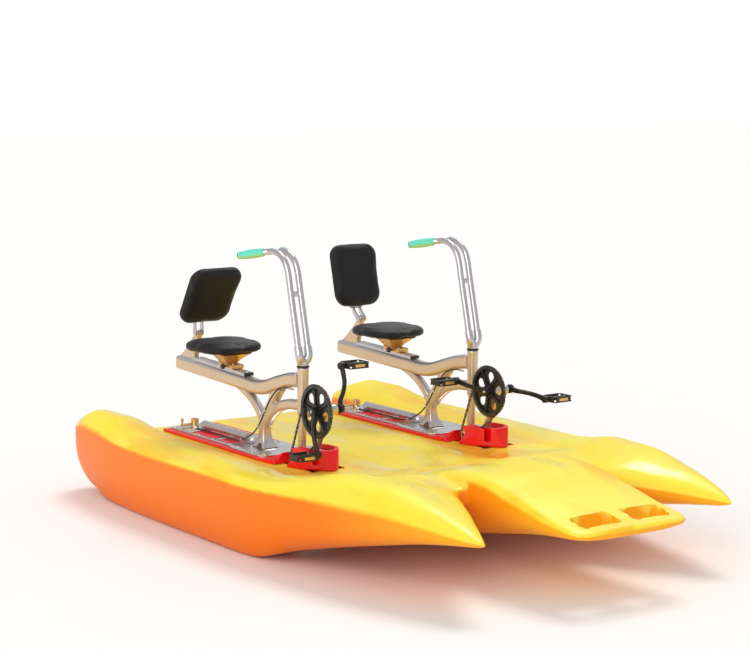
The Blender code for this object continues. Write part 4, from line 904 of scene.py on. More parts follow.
SIDE_OUTER = hull_line(
    [(-1.0, 0.885), (-0.97, 0.915), (-0.84, 0.955), (-0.65, 0.988), (-0.42, 1.0), (0.0, 0.992),
     (0.28, 0.945), (0.53, 0.885), (0.67, 0.832), (0.78, 0.785), (0.87, 0.735), (0.915, 0.692)])
SIDE_INNER = hull_line(
    [(-1.0, 0.725), (-0.97, 0.695), (-0.84, 0.672), (-0.5, 0.668), (0.16, 0.668), (0.28, 0.61),
     (0.42, 0.48), (0.55, 0.372), (0.67, 0.455), (0.78, 0.555), (0.87, 0.635), (0.915, 0.676)])
SIDE_RIDGE = hull_line(
    [(-1.0, 0.82), (-0.84, 0.855), (-0.5, 0.872), (0.0, 0.87), (0.28, 0.80), (0.42, 0.765),
     (0.56, 0.735), (0.70, 0.71), (0.84, 0.692), (0.915, 0.684)])
RIDGE_HEIGHT = height_line(
    [(-1.0, 0.300), (-0.955, 0.335), (-0.86, 0.368), (-0.76, 0.368), (-0.66, 0.340),
     (-0.56, 0.322), (-0.2, 0.320), (0.10, 0.322), (0.25, 0.346), (0.42, 0.382), (0.55, 0.380),
     (0.70, 0.350), (0.84, 0.299), (0.915, 0.2560)])
SIDE_CREASE = height_line([(-1.0, 0.270), (-0.9, 0.282), (0.5, 0.282), (0.7, 0.274), (0.915, 0.250)])
SIDE_KEEL = height_line(
    [(-1.0, 0.130), (-0.965, 0.065), (-0.88, 0.022), (-0.7018, 0.0), (0.0702, 0.0), (0.22, 0.052),
     (0.42, 0.118), (0.56, 0.160), (0.70, 0.200), (0.84, 0.230), (0.915, 0.243)])
PANEL_HEIGHT = height_line(
    [(-1.0, DECK), (0.155, DECK), (0.28, 0.318), (0.42, 0.366), (0.53, 0.392), (0.63, 0.386),
     (0.70, 0.364), (0.81, 0.332), (0.88, 0.308), (0.94, 0.289), (1.0, 0.268)])
BRIDGE_HEIGHT = height_line([(-1.0, DECK), (0.155, DECK), (0.28, 0.314), (0.42, 0.340), (0.56, 0.330)])
CENTRE_KEEL = height_line(
    [(-0.77, 0.110), (-0.70, 0.040), (0.14, 0.040), (0.35, 0.080), (0.56, 0.135), (0.70, 0.172),
     (0.84, 0.204), (0.95, 0.226), (1.0, 0.238)])
CENTRE_WIDTH = line_through(
    [(DECK_AFT, 0.2484), (-0.9, 0.270), (1.325, 0.270), (1.382, 0.263), (1.411, 0.243), (1.425, 0.200)])


def squared(angle, power):
    """Cosine and sine of an angle, drawn out towards the corners of a box."""
    c, s = math.cos(angle), math.sin(angle)
    return math.copysign(abs(c) ** (2 / power), c), math.copysign(abs(s) ** (2 / power), s)


def side_section(x, count=30):
    """One section of a side hull in (y, z), port side."""
    crease, outer, inner = SIDE_CREASE(x), SIDE_OUTER(x), SIDE_INNER(x)
    ridge, keel = SIDE_RIDGE(x), SIDE_KEEL(x)
    keel_y = ridge - 0.035 * (ridge - inner) / (outer - inner)
    fullness = 3.2 - 1.1 * min(max((x - 0.2) / 1.0, 0.0), 1.0)
    flatten = 1.06 if -1.15 < x < 0.30 else 1.0
    points = []
    for i in range(count):
        c, s = squared(math.pi * i / count, fullness)
        half = outer - keel_y if c > 0 else keel_y - inner
        points.append((keel_y + half * c, max(crease - (crease - keel) * flatten * s, keel)))
    for i in range(count):
        c, s = squared(math.pi * (1 + i / count), 1.75)
        half = outer - ridge if c > 0 else ridge - inner
        points.append((ridge + half * c, crease - (RIDGE_HEIGHT(x) - crease) * s))
    return points


def centre_section(x, count=26):
    half, top, keel = CENTRE_WIDTH(x), PANEL_HEIGHT(x), CENTRE_KEEL(x)
    waist = top - 0.40 * min(top - keel, 0.11)
    points = []
    for i in range(count):
        c, s = squared(math.pi * i / count, 2.8)
        points.append((-half * c, max(waist - (waist - keel) * 1.04 * s, keel)))
    for i in range(count):
        c, s = squared(math.pi * (1 + i / count), 3.4)
        points.append((-half * c, waist - (top - waist) * s))
    return points


def bridge_section(x):
    reach = 0.70 * HALF_BEAM
    low = DECK - 0.070 + max(0.0, x / HALF_LENGTH - 0.30) * 0.14
    top = BRIDGE_HEIGHT(x)
    row = [(-reach + 2 * reach * i / 12, low) for i in range(13)]
    return row + [(y, top) for y, z in reversed(row)]


def loft(shape, rows, section, mirror=1.0):
    skin(shape, [[shape.verts.new((x, y * mirror, z)) for y, z in section(x)] for x in rows])


def spread(low, high, count, ease=0.0):
    """Evenly spaced values that crowd a little at both ends."""
    out = []
    for i in range(count + 1):
        t = i / count
        t = t * (1 - ease) + ease * (0.5 - 0.5 * math.cos(math.pi * t))
        out.append(low + (high - low) * t)
    return out


def hull_forms():
    """The hull's closed forms before they are skinned as one."""
    shape = bmesh.new()
    side_rows = spread(-HALF_LENGTH, 0.915 * HALF_LENGTH, 130, 0.5)
    loft(shape, side_rows, side_section)
    loft(shape, side_rows, side_section, -1.0)
    loft(shape, spread(DECK_AFT + 0.006, HALF_LENGTH, 120, 0.4), centre_section)
    loft(shape, spread(DECK_AFT, DECK_FORE, 60), bridge_section)
    return as_piece(shape, "hull_shell")


def hull_cutters():
    shape = bmesh.new()
    for side in (-1.0, 1.0):
        hole = soft_rectangle(0.085, 0.172, 0.020)
        slab(shape, [hole], 0.5, 0.0, move(1.332, side * 0.116, 0.3))
        block(shape, (-0.135, side * DRIVE_Y - 0.075, 0.15), (0.115, side * DRIVE_Y + 0.075, 0.6))
    return as_piece(shape, "hull_cutters")


def deck_shape(item):
    """Waves the open deck a little and keeps it level under the bases."""
    ripple = sizes().ripple
    for vertex in item.data.vertices:
        x, y, z = vertex.co
        if vertex.normal.z < 0.75 or z < 0.27:
            continue
        aside = abs(abs(y) - DRIVE_Y) - 0.150
        along = max(x - 0.19, -1.0 - x)
        clear = min(max(max(aside, along) / 0.06, 0.0), 1.0)
        fade = clear * min(max((vertex.normal.z - 0.75) / 0.2, 0.0), 1.0)
        where = Vector((x * 3.2 + y * 0.9, y * 7.0 - x * 1.1, 0.3))
        swell = noise.noise(where) + 0.45 * noise.noise(where * 2.3)
        vertex.co.z += ripple * fade * swell


class PEDALBOAT_OT_hull(bpy.types.Operator):
    """Builds the moulded hull with its grab holes and drain plugs"""

    bl_idname = "pedalboat.hull"
    bl_label = "Build the hull"

    def execute(self, context):
        item = hull_forms()
        cell = sizes().hull_voxel
        melt(item, cell, 7)
        subtract(item, hull_cutters())
        soften_hole_edges(item)
        deck_shape(item)
        settle(item, "hull", "boat", ["hull"], 50.0)
        drain_plugs()
        return {"FINISHED"}


def soften_hole_edges(item):
    """Rounds the rims that the cutters left."""
    shape = bmesh.new()
    shape.from_mesh(item.data)
    rims = [e for e in shape.edges if e.is_manifold and e.calc_face_angle(0.0) > 1.0]
    ring = {v for e in rims for v in e.verts}
    for _ in range(2):
        bmesh.ops.smooth_vert(shape, verts=list(ring), factor=0.5, use_axis_x=True, use_axis_y=True,
                              use_axis_z=True)
    shape.to_mesh(item.data)
    shape.free()


def drain_plugs():
    """Screw plugs with finger ribs, one in the stern of each side hull."""
    for side in (-1.0, 1.0):
        place = move(-HALF_LENGTH + 0.0125, side * 0.670, 0.235) @ turn(-math.pi / 2, "Y")
        shape = bmesh.new()
        lathe(shape, [(0.0, 0.0125), (0.012, 0.0125), (0.0135, 0.011), (0.0142, 0.005), (0.021, 0.004),
                      (0.0225, 0.0025), (0.0225, -0.006), (0.0, -0.006)], 36)
        block(shape, (-0.012, -0.0022, 0.0105), (0.012, 0.0022, 0.0165), 0.0008)
        item = as_piece(shape, "drain_plug_" + ("port" if side > 0 else "stbd"), place)
        settle(item, "nylon", "boat")


# ---------------------------------------------------------------- base, plate and frame
def base_outline(inset=0.0, rear=-1.087, per_side=44):
    half = 0.135 - inset
    span = BASE_STEM - 2.2 * inset + 0.32
    start = max(0.0, (rear + 0.32) / span)
    side = [(rear, half)] if start == 0.0 else []
    for i in range(per_side + 1):
        t = start + (1 - start) * (1 - (1 - i / per_side) ** 1.6)
        side.append((-0.32 + span * t, half * max(0.0, 1 - t**2.2) ** 0.75))
    return [(x, -y) for x, y in side] + side[-2::-1]


def base_rise(x):
    """Height of the base's rim: low at the plate, sweeping up to the stem."""
    t = min(max((x + 0.290) / 0.166, 0.0), 1.0)
    t = t * t * (3 - 2 * t)
    low = BASE_TOP
    crown = -0.2347 + 0.0744 + 0.0056 * min(max((x + 0.124) / 0.14, 0.0), 1.0)
    rim = low + (crown - low) * t
    rake = -0.2347 + (BASE_STEM - x) / 0.030 * 0.080
    return min(rim, rake)


def base_form(name):
    """The base as a solid under its rim, with the open pocket cut from its front."""
    shape = bmesh.new()
    slab(shape, [base_outline()], 0.115, 0.0, move(0, 0, -0.2347 + 0.0575))
    profile = [(-1.12, -0.26), (BASE_STEM + 0.001, -0.26)]
    profile += [(x, base_rise(x)) for x in [BASE_STEM - 0.366 * i / 90 for i in range(91)]]
    profile += [(-1.12, BASE_TOP)]
    item = as_piece(shape, name)
    side_view = bmesh.new()
    slab(side_view, [profile], 0.34, 0.0, TURN_X)
    keeper = as_piece(side_view, "base_keeper")
    keep(item, keeper)
    side = [(0.27, -0.29), (0.27, -0.2159), (0.1040, -0.2159), (0.0790, -0.187), (0.0730, -0.127)]
    front_view = bmesh.new()
    slab(front_view, [side + [(-y, z) for y, z in reversed(side)]], 2.4, 0.0, TURN_Z @ TURN_X)
    keep(item, as_piece(front_view, "base_front"))
    pocket = bmesh.new()
    slab(pocket, [base_outline(0.012, -0.245)], 0.5, 0.0, move(0, 0, -0.2347))
    hollow = as_piece(pocket, "base_pocket")
    limit = bmesh.new()
    block(limit, (-0.255, -0.0295, -0.6), (0.005, 0.062, 0.2))
    keep(hollow, as_piece(limit, "base_pocket_limit"))
    subtract(item, hollow)
    front = bmesh.new()
    lathe(front, [(0.0, 0.0400), (0.0400, 0.0400), (0.0400, 0.15), (0.0, 0.15)], 48,
          move(SPROCKET_AT[0], 0, SPROCKET_AT[1]) @ TURN_X)
    subtract(item, as_piece(front, "base_sprocket_bay"))
    bay = bmesh.new()
    block(bay, (-0.196, -0.0600, -0.214), (0.001, -0.0400, 0.0))
    subtract(item, as_piece(bay, "base_chain_bay"))
    bores = bmesh.new()
    lathe(bores, [(0.0, -0.5), (0.0097, -0.5), (0.0097, 0.0), (0.0, 0.0)], 24, move(RUDDER_X))
    lathe(bores, [(0.0, 0.0), (0.0100, 0.0), (0.0100, 0.05), (0.0, 0.05)], 24,
          move(SPROCKET_AT[0], 0, SPROCKET_AT[1]) @ TURN_X)
    subtract(item, as_piece(bores, "base_bores"))
    return melt(item, 0.0040, 3)


def plate_form(name):
    rear, front = -1.079, -0.297
    half, wide = 0.105, 0.121
    edge = [(rear + 0.008, half), (-0.600, half), (-0.560, half + 0.006), (-0.530, wide),
            (front - 0.03, wide), (front - 0.010, wide - 0.018), (front, wide - 0.04)]
    outline = [(rear, -half + 0.008)] + [(x, -y) for x, y in edge] + edge[::-1] + [(rear, half - 0.008)]
    windows = []
    for low, high, border in ((-0.930, -0.745, 0.018), (-0.715, -0.610, 0.022)):
        hole = soft_rectangle(high - low, 2 * (half - border), 0.008, 4)
        windows.append([(x + (low + high) / 2, y) for x, y in hole])
    hole = [(RUDDER_X + x, y) for x, y in round_section(0.0097, 20)]
    shape = bmesh.new()
    slab(shape, [outline, *windows, hole], 0.004, 0.0006, move(0, 0, PLATE_TOP - 0.002))
    return as_piece(shape, name)


class PEDALBOAT_OT_bases(bpy.types.Operator):
    """Builds each drive's moulded base, its plate and the bolts that hold it down"""

    bl_idname = "pedalboat.bases"
    bl_label = "Build the bases"

    def execute(self, context):
        for drive in DRIVES:
            item = base_form(drive.node("base_shell"))
            item.data.transform(drive.at["root"])
            settle(item, "base", "boat", [drive.node("base_housing")], 60.0)
            plate = plate_form(drive.node("deck_plate"))
            plate.data.transform(drive.at["root"])
            settle(plate, "plate", "boat", [drive.node("base_plate")])
            places = []
            for x, y in ((-1.060, 0.088), (-0.840, 0.096), (-0.730, 0.093), (-0.585, 0.092),
                         (-0.520, 0.095), (-0.400, 0.100), (-0.325, 0.088)):
                places += [((x, side * y, PLATE_TOP), (0, 0, 0)) for side in (-1, 1)]
            fixings(drive.node("plate_bolts"), drive, "root", places, "boat")
        return {"FINISHED"}


def beam_centre(x):
    return 0.047 + (x + 1.165) * math.tan(BEAM_SLOPE)


def beam_path():
    bend = [(-0.680, 0.0, beam_centre(-0.680)), (-0.600, 0.0, 0.0265), (-0.520, 0.0, 0.0225),
            (-0.440, 0.0, 0.0330), (-0.340, 0.0, 0.0640), (-0.260, 0.0, 0.0850), (-0.195, 0.0, 0.0935)]
    straight = [Vector((x, 0.0, beam_centre(x))) for x in spread(-1.162, -0.72, 16)]
    return straight + smooth_line(bend, 7)


def beam_form(name):
    """The bent box beam with the backrest arm welded to its tail."""
    shape = bmesh.new()
    section = soft_rectangle(0.0515, 0.0595, 0.0155, 6)
    sweep(shape, beam_path(), section, side=(0, 1, 0))
    hinge_x, hinge_z = BACK_HINGE
    ear = [(hinge_x + 0.0138 * math.cos(a), hinge_z + 0.0138 * math.sin(a))
           for a in [math.radians(-30 + 12 * i) for i in range(16)]]
    foot = beam_centre(-1.1) + 0.018
    outline = [(-1.020, foot), (-1.022, foot + 0.03), (-1.010, foot + 0.055), *ear, (-1.030, 0.176),
               (-1.055, 0.150), (-1.085, 0.124), (-1.112, 0.100), (-1.150, foot + 0.012), (-1.155, foot)]
    slab(shape, [outline], 0.026, 0.004, TURN_X)
    item = as_piece(shape, name)
    melt(item, sizes().frame_voxel, 3)
    return item


def leg_form(name):
    """The cast leg: a flared foot, a column, two struts to the beam and the arch to the head."""
    shape = bmesh.new()
    rows = []
    foot_top = PLATE_TOP + 0.0703
    for i in range(15):
        t = i / 14
        z = PLATE_TOP + 0.0003 + 0.0700 * t
        flare = (1 - t) ** 2.4
        half_x = 0.022 + 0.030 * flare
        half_y = 0.0205 + 0.0175 * flare
        rows.append([shape.verts.new((-0.470 + x, y, z)) for x, y in
                     soft_rectangle(2 * half_x, 2 * half_y, 0.009, 4)])
    skin(shape, rows)
    runs = [
        ([(-0.470, 0, foot_top - 0.010), (-0.468, 0, -0.118), (-0.462, 0, -0.095)], 0.0415, 0.043, 0.011),
        ([(-0.475, 0, -0.120), (-0.500, 0, -0.080), (-0.550, 0, -0.038), (-0.610, 0, -0.008),
          (-0.672, 0, 0.014)], 0.0335, 0.0335, 0.010),
        ([(-0.468, 0, -0.125), (-0.448, 0, -0.085), (-0.410, 0, -0.035), (-0.372, 0, 0.018),
          (-0.345, 0, 0.045)], 0.0375, 0.0455, 0.011),
        ([(-0.452, 0, -0.118), (-0.415, 0, -0.078), (-0.350, 0, -0.036), (-0.270, 0, -0.014),
          (-0.190, 0, -0.0085)], 0.0355, 0.0415, 0.010),
    ]
    for points, width, height, corner in runs:
        sweep(shape, smooth_line(points, 8), soft_rectangle(width, height, corner, 5), side=(0, 1, 0))
    item = melt(as_piece(shape, name), sizes().frame_voxel, 5)
    gap = bmesh.new()
    lathe(gap, [(0.0, -0.1), (0.020, -0.1), (0.020, 0.1), (0.0, 0.1)], 40,
          move(-0.458, 0, PLATE_TOP) @ TURN_X)
    subtract(item, as_piece(gap, "foot_gap"))
    return item


def support_form(name):
    """Head tube, bottom bracket shell and the struts between them, as one welding."""
    shape = bmesh.new()
    low = -0.177 + 0.0003
    lathe(shape, [(0.0, 0.1445), (0.0200, 0.1445), (0.0232, 0.1415), (0.0232, 0.128), (0.0222, 0.124),
                  (0.0222, -0.026), (0.0232, -0.030), (0.0232, -0.042), (0.0205, -0.0445), (0.0, -0.0445)],
          40, move(HEAD_X))
    lathe(shape, [(0.0, -0.0355), (0.0205, -0.0355), (0.0218, -0.034), (0.0218, 0.034), (0.0205, 0.0355),
                  (0.0, 0.0355)], 40, TURN_X)
    arm = smooth_line([(HEAD_X, 0, -0.034), (-0.12, 0, -0.026), (-0.06, 0, -0.012), (-0.010, 0, 0.0)], 6)
    sweep(shape, arm, round_section(0.0185, 28), [(1.0, 1.05)] * len(arm), side=(0, 1, 0))
    for start, end, radius in (((HEAD_X, 0, -0.035), (-0.190, 0, low), 0.0165),
                               ((-0.006, 0, -0.004), (-0.088, 0, low + 0.002), 0.0145)):
        run = smooth_line([start, (Vector(start) + Vector(end)) / 2, end], 8)
        sweep(shape, run, round_section(radius, 24), side=(0, 1, 0))
    item = as_piece(shape, name)
    melt(item, 0.0022, 3)
    return item


class PEDALBOAT_OT_frames(bpy.types.Operator):
    """Builds each drive's welded aluminium frame"""

    bl_idname = "pedalboat.frames"
    bl_label = "Build the frames"

    def execute(self, context):
        for drive in DRIVES:
            root = drive.at["root"]
            beam = beam_form(drive.node("beam"))
            beam.data.transform(root)
            settle(beam, "frame", "boat", [drive.node("main_beam")], 60.0)
            leg = leg_form(drive.node("leg"))
            leg.data.transform(root)
            settle(leg, "frame", "boat", [drive.node("leg_frame")], 60.0)
            support = support_form(drive.node("support"))
            support.data.transform(root)
            nodes = [drive.node("head_tube"), drive.node("front_support")]
            settle(support, "frame", "boat", nodes, 60.0)
            seal = bmesh.new()
            washer(seal, 0.0252, 0.0135, 0.1453, 0.1503, 40, move(HEAD_X))
            ring = as_piece(seal, drive.node("seal"), root)
            settle(ring, "rubber", "boat", [drive.node("seal_ring")])
            beads(drive)
        return {"FINISHED"}


def beads(drive):
    """Ripples of weld metal round the joints of the frame."""
    rings = [(Vector((-0.1995, 0, 0.0925)), 0.0262, 0.0300, turn(math.radians(-10), "Y")),
             (Vector((-0.198, 0, -0.010)), 0.0182, 0.0212, Matrix.Identity(4))]
    for number, (middle, half_y, half_z, tilt) in enumerate(rings):
        path = []
        for i in range(64):
            c, s = squared(2 * math.pi * i / 64, 3.4)
            path.append(middle + tilt @ Vector((0, half_y * c, half_z * s)))
        shape = bmesh.new()
        bmesh.ops.create_icosphere(shape, subdivisions=1, radius=0.0026)
        bead = template("bead_form", shape)
        row = row_on_path(drive.node(f"weld_{number}"), path, 60, bead, bead, "zinc")
        row.data.transform(drive.at["root"])
        settle(row, "bar", "boat")


# ---------------------------------------------------------------- seats
def rail_section():
    """Half-inch grooves along the top and sides of the rail."""
    half, high = 0.0228, 0.0136
    top = [(half, 0.002), (half, 0.004), (half - 0.0015, 0.0046), (half - 0.0015, 0.0066), (half, 0.0072),
           (half, high - 0.001), (half - 0.001, high), (0.0150, high), (0.0142, high - 0.0018),
           (0.0092, high - 0.0018), (0.0084, high), (0.0030, high), (0.0024, high - 0.0012)]
    return [(x, z) for x, z in top] + [(-x, z) for x, z in reversed(top)] + [(-half, 0.0), (half, 0.0)]


class PEDALBOAT_OT_seats(bpy.types.Operator):
    """Builds each drive's seat rail, carriage, seat pad, backrest and its hinge"""

    bl_idname = "pedalboat.seats"
    bl_label = "Build the seats"

    def execute(self, context):
        seat_mesh = seat_form()
        back_mesh = back_form()
        for drive in DRIVES:
            seat_rail(drive)
            seat_carriage(drive)
            place_pad(drive, seat_mesh, "seat", "seat_cushion", "seat_pad", drive.body("seat"))
            place_pad(drive, back_mesh, "back", "back_cushion", "back_pad", drive.body("backrest"))
            pad_seams(drive, seat_mesh, back_mesh)
            back_hinge(drive)
        bpy.data.meshes.remove(seat_mesh)
        bpy.data.meshes.remove(back_mesh)
        return {"FINISHED"}


def swell(item, pressure, cap, cell):
    """Blows a closed form up like stuffed upholstery, each point by no more than the cap."""
    melt(item, cell, 2)
    start = [v.co.copy() for v in item.data.vertices]
    cloth = item.modifiers.new("cover", "CLOTH")
    cloth.settings.use_pressure = True
    cloth.settings.uniform_pressure_force = pressure
    cloth.settings.tension_stiffness = 25.0
    cloth.settings.compression_stiffness = 25.0
    cloth.settings.bending_stiffness = 0.6
    cloth.settings.effector_weights.gravity = 0.0
    cloth.collision_settings.use_collision = False
    scene = bpy.context.scene
    for step in range(1, 21):
        scene.frame_set(step)
    bake(item)
    scene.frame_set(1)
    for vertex, was in zip(item.data.vertices, start):
        shift = vertex.co - was
        if shift.length > cap:
            vertex.co = was + shift.normalized() * cap
    finer = item.modifiers.new("finer", "SUBSURF")
    finer.levels = 1
    finer.render_levels = 1
    return bake(item)


def fit_within(item, low, high):
    """Scales a form a little so that it fills its own box."""
    points = [v.co for v in item.data.vertices]
    for axis in range(3):
        least = min(p[axis] for p in points)
        most = max(p[axis] for p in points)
        share = (high[axis] - low[axis]) / (most - least)
        for p in points:
            p[axis] = low[axis] + (p[axis] - least) * share


def take_mesh(item):
    mesh = item.data.copy()
    bpy.data.objects.remove(item, do_unlink=True)
    return mesh


def seat_form():
    """The crowned seat cushion, flat below, a little narrower in front."""
    size = sizes().seat
    shape = bmesh.new()
    rows = []
    for z, grow, lift in ((0.0, 0.90, 0), (0.006, 0.955, 0), (0.018, 0.975, 0), (0.030, 0.960, 0),
                          (0.037, 0.90, 0.001), (0.0395, 0.70, 0.003), (0.0405, 0.35, 0.004)):
        row = []
        for i in range(72):
            angle = 2 * math.pi * i / 72
            c, s = squared(angle, 2.9)
            row.append(shape.verts.new((size / 2 * c * grow, size / 2 * s * grow * (1.0 - 0.05 * c),
                                        z + lift * abs(math.cos(angle)))))
        rows.append(row)
    skin(shape, rows)
    item = as_piece(shape, "seat_cushion_form")
    swell(item, 4.0, 0.007, 0.0055)
    for vertex in item.data.vertices:
        x, y, z = vertex.co
        if z > 0.028:
            dish = 0.0035 * math.exp(-((x + 0.02) ** 2 + y * y) / 0.006)
            vertex.co.z -= dish
        vertex.co.z = max(vertex.co.z, 0.0)
    half = size / 2
    fit_within(item, (-half, -half * 1.008, 0.0), (half, half * 1.008, 0.0445))
    return take_mesh(item)


def back_form():
    """The backrest cushion, its lower corners rounder, thinner to its rim."""
    width, height, depth = sizes().back_width, sizes().back_height, 0.046
    shape = bmesh.new()
    rows = []
    for z, grow in ((0.0, 0.90), (0.006, 0.955), (0.020, 0.975), (0.033, 0.955), (0.039, 0.90),
                    (0.0415, 0.70), (0.0425, 0.35)):
        row = []
        for x, y in soft_rectangle(width, height, 0.058, 14):
            taper = 1.0 - 0.10 * max(0.0, -y / height)
            row.append(shape.verts.new((x * grow * taper, y * grow, z)))
        rows.append(row)
    skin(shape, rows)
    item = as_piece(shape, "back_cushion_form")
    swell(item, 4.0, 0.007, 0.0055)
    for vertex in item.data.vertices:
        x, y, z = vertex.co
        if z > 0.028:
            vertex.co.z -= 0.0030 * math.exp(-(x * x / 0.003 + y * y / 0.008))
        vertex.co.z = max(vertex.co.z, 0.0)
    fit_within(item, (-width / 2, -height / 2, 0.0), (width / 2, height / 2, depth))
    return take_mesh(item)


def back_turn():
    """From the cushion's own plane, face up, to upright behind the rider and facing the bow."""
    middle = 0.058 + sizes().back_height / 2
    return move(-0.026 + 0.0003, 0, middle) @ TURN_Z @ TURN_X


def place_pad(drive, mesh, frame_name, name, node, body):
    data = mesh.copy()
    item = bpy.data.objects.new(drive.node(name), data)
    bpy.context.scene.collection.objects.link(item)
    local = back_turn() if frame_name == "back" else move(0, 0, 0.0003)
    data.transform(drive.at[frame_name] @ local)
    settle(item, "vinyl", body, [drive.node(node)], 70.0)


def rim_points(mesh, outline, height, out=0.0):
    """Points round a cushion's own skin at one height."""
    tree = BVHTree.FromPolygons([v.co for v in mesh.vertices], [p.vertices for p in mesh.polygons])
    points = []
    for x, y in outline:
        ray = Vector((x, y, 0)).normalized()
        hit = tree.ray_cast(Vector((x, y, height)) * 1.0 + ray * 0.08, -ray)
        if hit[0] is None:
            raise RuntimeError("a cushion has no skin at the height of its seam")
        points.append(hit[0] + ray * out)
    return points


def stitch_template():
    shape = bmesh.new()
    lathe(shape, [(0.0, 0.0030), (0.0005, 0.0024), (0.0006, 0.0), (0.0005, -0.0024), (0.0, -0.0030)], 6, TURN_Y)
    return template("stitch_form", shape)


def pad_seams(drive, seat_mesh, back_mesh):
    """A piped seam round each cushion, with a row of stitches above it."""
    size = sizes().seat
    ring = []
    for i in range(120):
        c, s = squared(2 * math.pi * i / 120, 2.9)
        ring.append((size / 2 * c, size / 2 * s * (1.0 - 0.05 * c)))
    back_ring = soft_rectangle(sizes().back_width, sizes().back_height, 0.058, 24)
    jobs = (("seat", seat_mesh, ring, drive.at["seat"] @ move(0, 0, 0.0003), drive.body("seat"), 0.0105),
            ("back", back_mesh, back_ring, drive.at["back"] @ back_turn(), drive.body("backrest"), 0.0110))
    for word, mesh, outline, place, body, height in jobs:
        path = rim_points(mesh, outline, height, -0.0004)
        shape = bmesh.new()
        pipe(shape, path, 0.0016, 10, closed=True)
        cord = as_piece(shape, drive.node(word + "_piping"), place)
        settle(cord, "vinyl", body, (), 80.0)
        upper = rim_points(mesh, outline, height + 0.0045, 0.0001)
        count = int(sum((b - a).length for a, b in zip(upper, upper[1:] + upper[:1])) / 0.0085)
        thread = stitch_template()
        row = row_on_path(drive.node(word + "_stitches"), upper, count, thread, thread, "rubber")
        row.data.transform(place)
        settle(row, "rubber", body)


def seat_rail(drive):
    shape = bmesh.new()
    sweep(shape, [Vector((x, 0, 0)) for x in spread(0.002, 0.422, 12)], rail_section(), side=(0, 1, 0))
    item = as_piece(shape, drive.node("rail"), drive.at["rail"])
    settle(item, "bar", "boat", [drive.node("seat_rail")], 25.0)
    cap = bmesh.new()
    block(cap, (0.4222, -0.0226, 0.0004), (0.4250, 0.0226, 0.0138), 0.0012)
    end = as_piece(cap, drive.node("rail_cap"), drive.at["rail"])
    settle(end, "nylon", "boat")
    places = [((x, 0, 0.0136), (0, 0, 0)) for x in (0.020, 0.411)]
    fixings(drive.node("rail_bolts"), drive, "rail", places, "boat", 0.75)


def seat_carriage(drive):
    """The slide block and the pressed bracket that spreads out under the seat."""
    slide = drive.at["slide"]
    shape = bmesh.new()
    block(shape, (-0.0548, -0.0298, 0.0146), (0.0548, 0.0298, 0.0318), 0.0030)
    rows = []
    top = drive.at["seat"].translation.z - slide.translation.z - 0.0006
    for i in range(13):
        t = i / 12
        flare = t**1.35
        half_x, half_y = 0.034 + 0.052 * flare, 0.0225 + 0.0505 * flare
        z = 0.024 + (top - 0.024) * t
        rows.append([shape.verts.new((-0.025 + x, y, z - 0.0362 * (x - 0.03) * t)) for x, y in
                     soft_rectangle(2 * half_x, 2 * half_y, 0.008 + 0.012 * t, 5)])
    skin(shape, rows)
    item = as_piece(shape, drive.node("carriage"), slide)
    high = (drive.at["seat"].translation.z - 0.0005)
    for vertex in item.data.vertices:
        vertex.co.z = min(vertex.co.z, high)
    settle(item, "bronze", drive.body("seat"), [drive.node("seat_carriage")], 40.0)
    knob = bmesh.new()
    lathe(knob, [(0.0, 0.0), (0.004, 0.0), (0.004, 0.010), (0.010, 0.0115), (0.0115, 0.014), (0.0115, 0.022),
                 (0.010, 0.0245), (0.0, 0.0255)], 24, move(0.012, -0.0295, 0.0235) @ TURN_X)
    item = as_piece(knob, drive.node("slide_knob"), slide)
    settle(item, "nylon", drive.body("seat"))
    places = [((x, y, 0.0318), (0, 0, 0)) for x in (0.044,) for y in (-0.018, 0.018)]
    fixings(drive.node("carriage_bolts"), drive, "slide", places, drive.body("seat"), 0.8)


def back_hinge(drive):
    """Folding plate, ears and pin behind the backrest cushion."""
    ear_y, thick, rear = 0.014, 0.006, -0.034
    arc = [(0.0128 * math.cos(a), 0.0128 * math.sin(a)) for a in [math.radians(-90 + 12 * i) for i in range(11)]]
    outline = arc + [(0.004, 0.016), (-0.012, 0.034), (-0.018, 0.046), (rear + 0.006, 0.0615),
                     (rear + 0.0004, 0.0615), (rear + 0.0004, 0.030), (-0.024, 0.012), (-0.012, -0.006)]
    shape = bmesh.new()
    for side in (-1, 1):
        slab(shape, [outline], thick, 0.001, move(0, side * (ear_y + thick / 2), 0) @ TURN_X)
    plate = soft_rectangle(0.072, 0.164, 0.012)
    slab(shape, [plate], 0.0076, 0.0015, move(rear + 0.004, 0, 0.1325) @ TURN_Z @ TURN_X)
    reach = ear_y + thick + 0.0025
    lathe(shape, [(0.0, -reach), (0.0040, -reach), (0.0048, -reach + 0.0008), (0.0048, reach - 0.0008),
                  (0.0040, reach), (0.0, reach)], 20, TURN_X)
    item = as_piece(shape, drive.node("back_plate"), drive.at["back"])
    settle(item, "bar", drive.body("backrest"), [drive.node("back_hinge")], 35.0)
    places = [((rear + 0.0004, y, z), (0, -math.pi / 2, 0)) for y in (-0.024, 0.024) for z in (0.075, 0.190)]
    fixings(drive.node("back_bolts"), drive, "back", places, drive.body("backrest"), 0.75)


# ---------------------------------------------------------------- steering
def grip_axis(side):
    start = Vector((-0.2020, side * 0.0225 * 1.25, 0.5872))
    end = Vector((-0.2790, side * (0.0225 + 0.072), 0.5720))
    return start, (end - start).normalized()


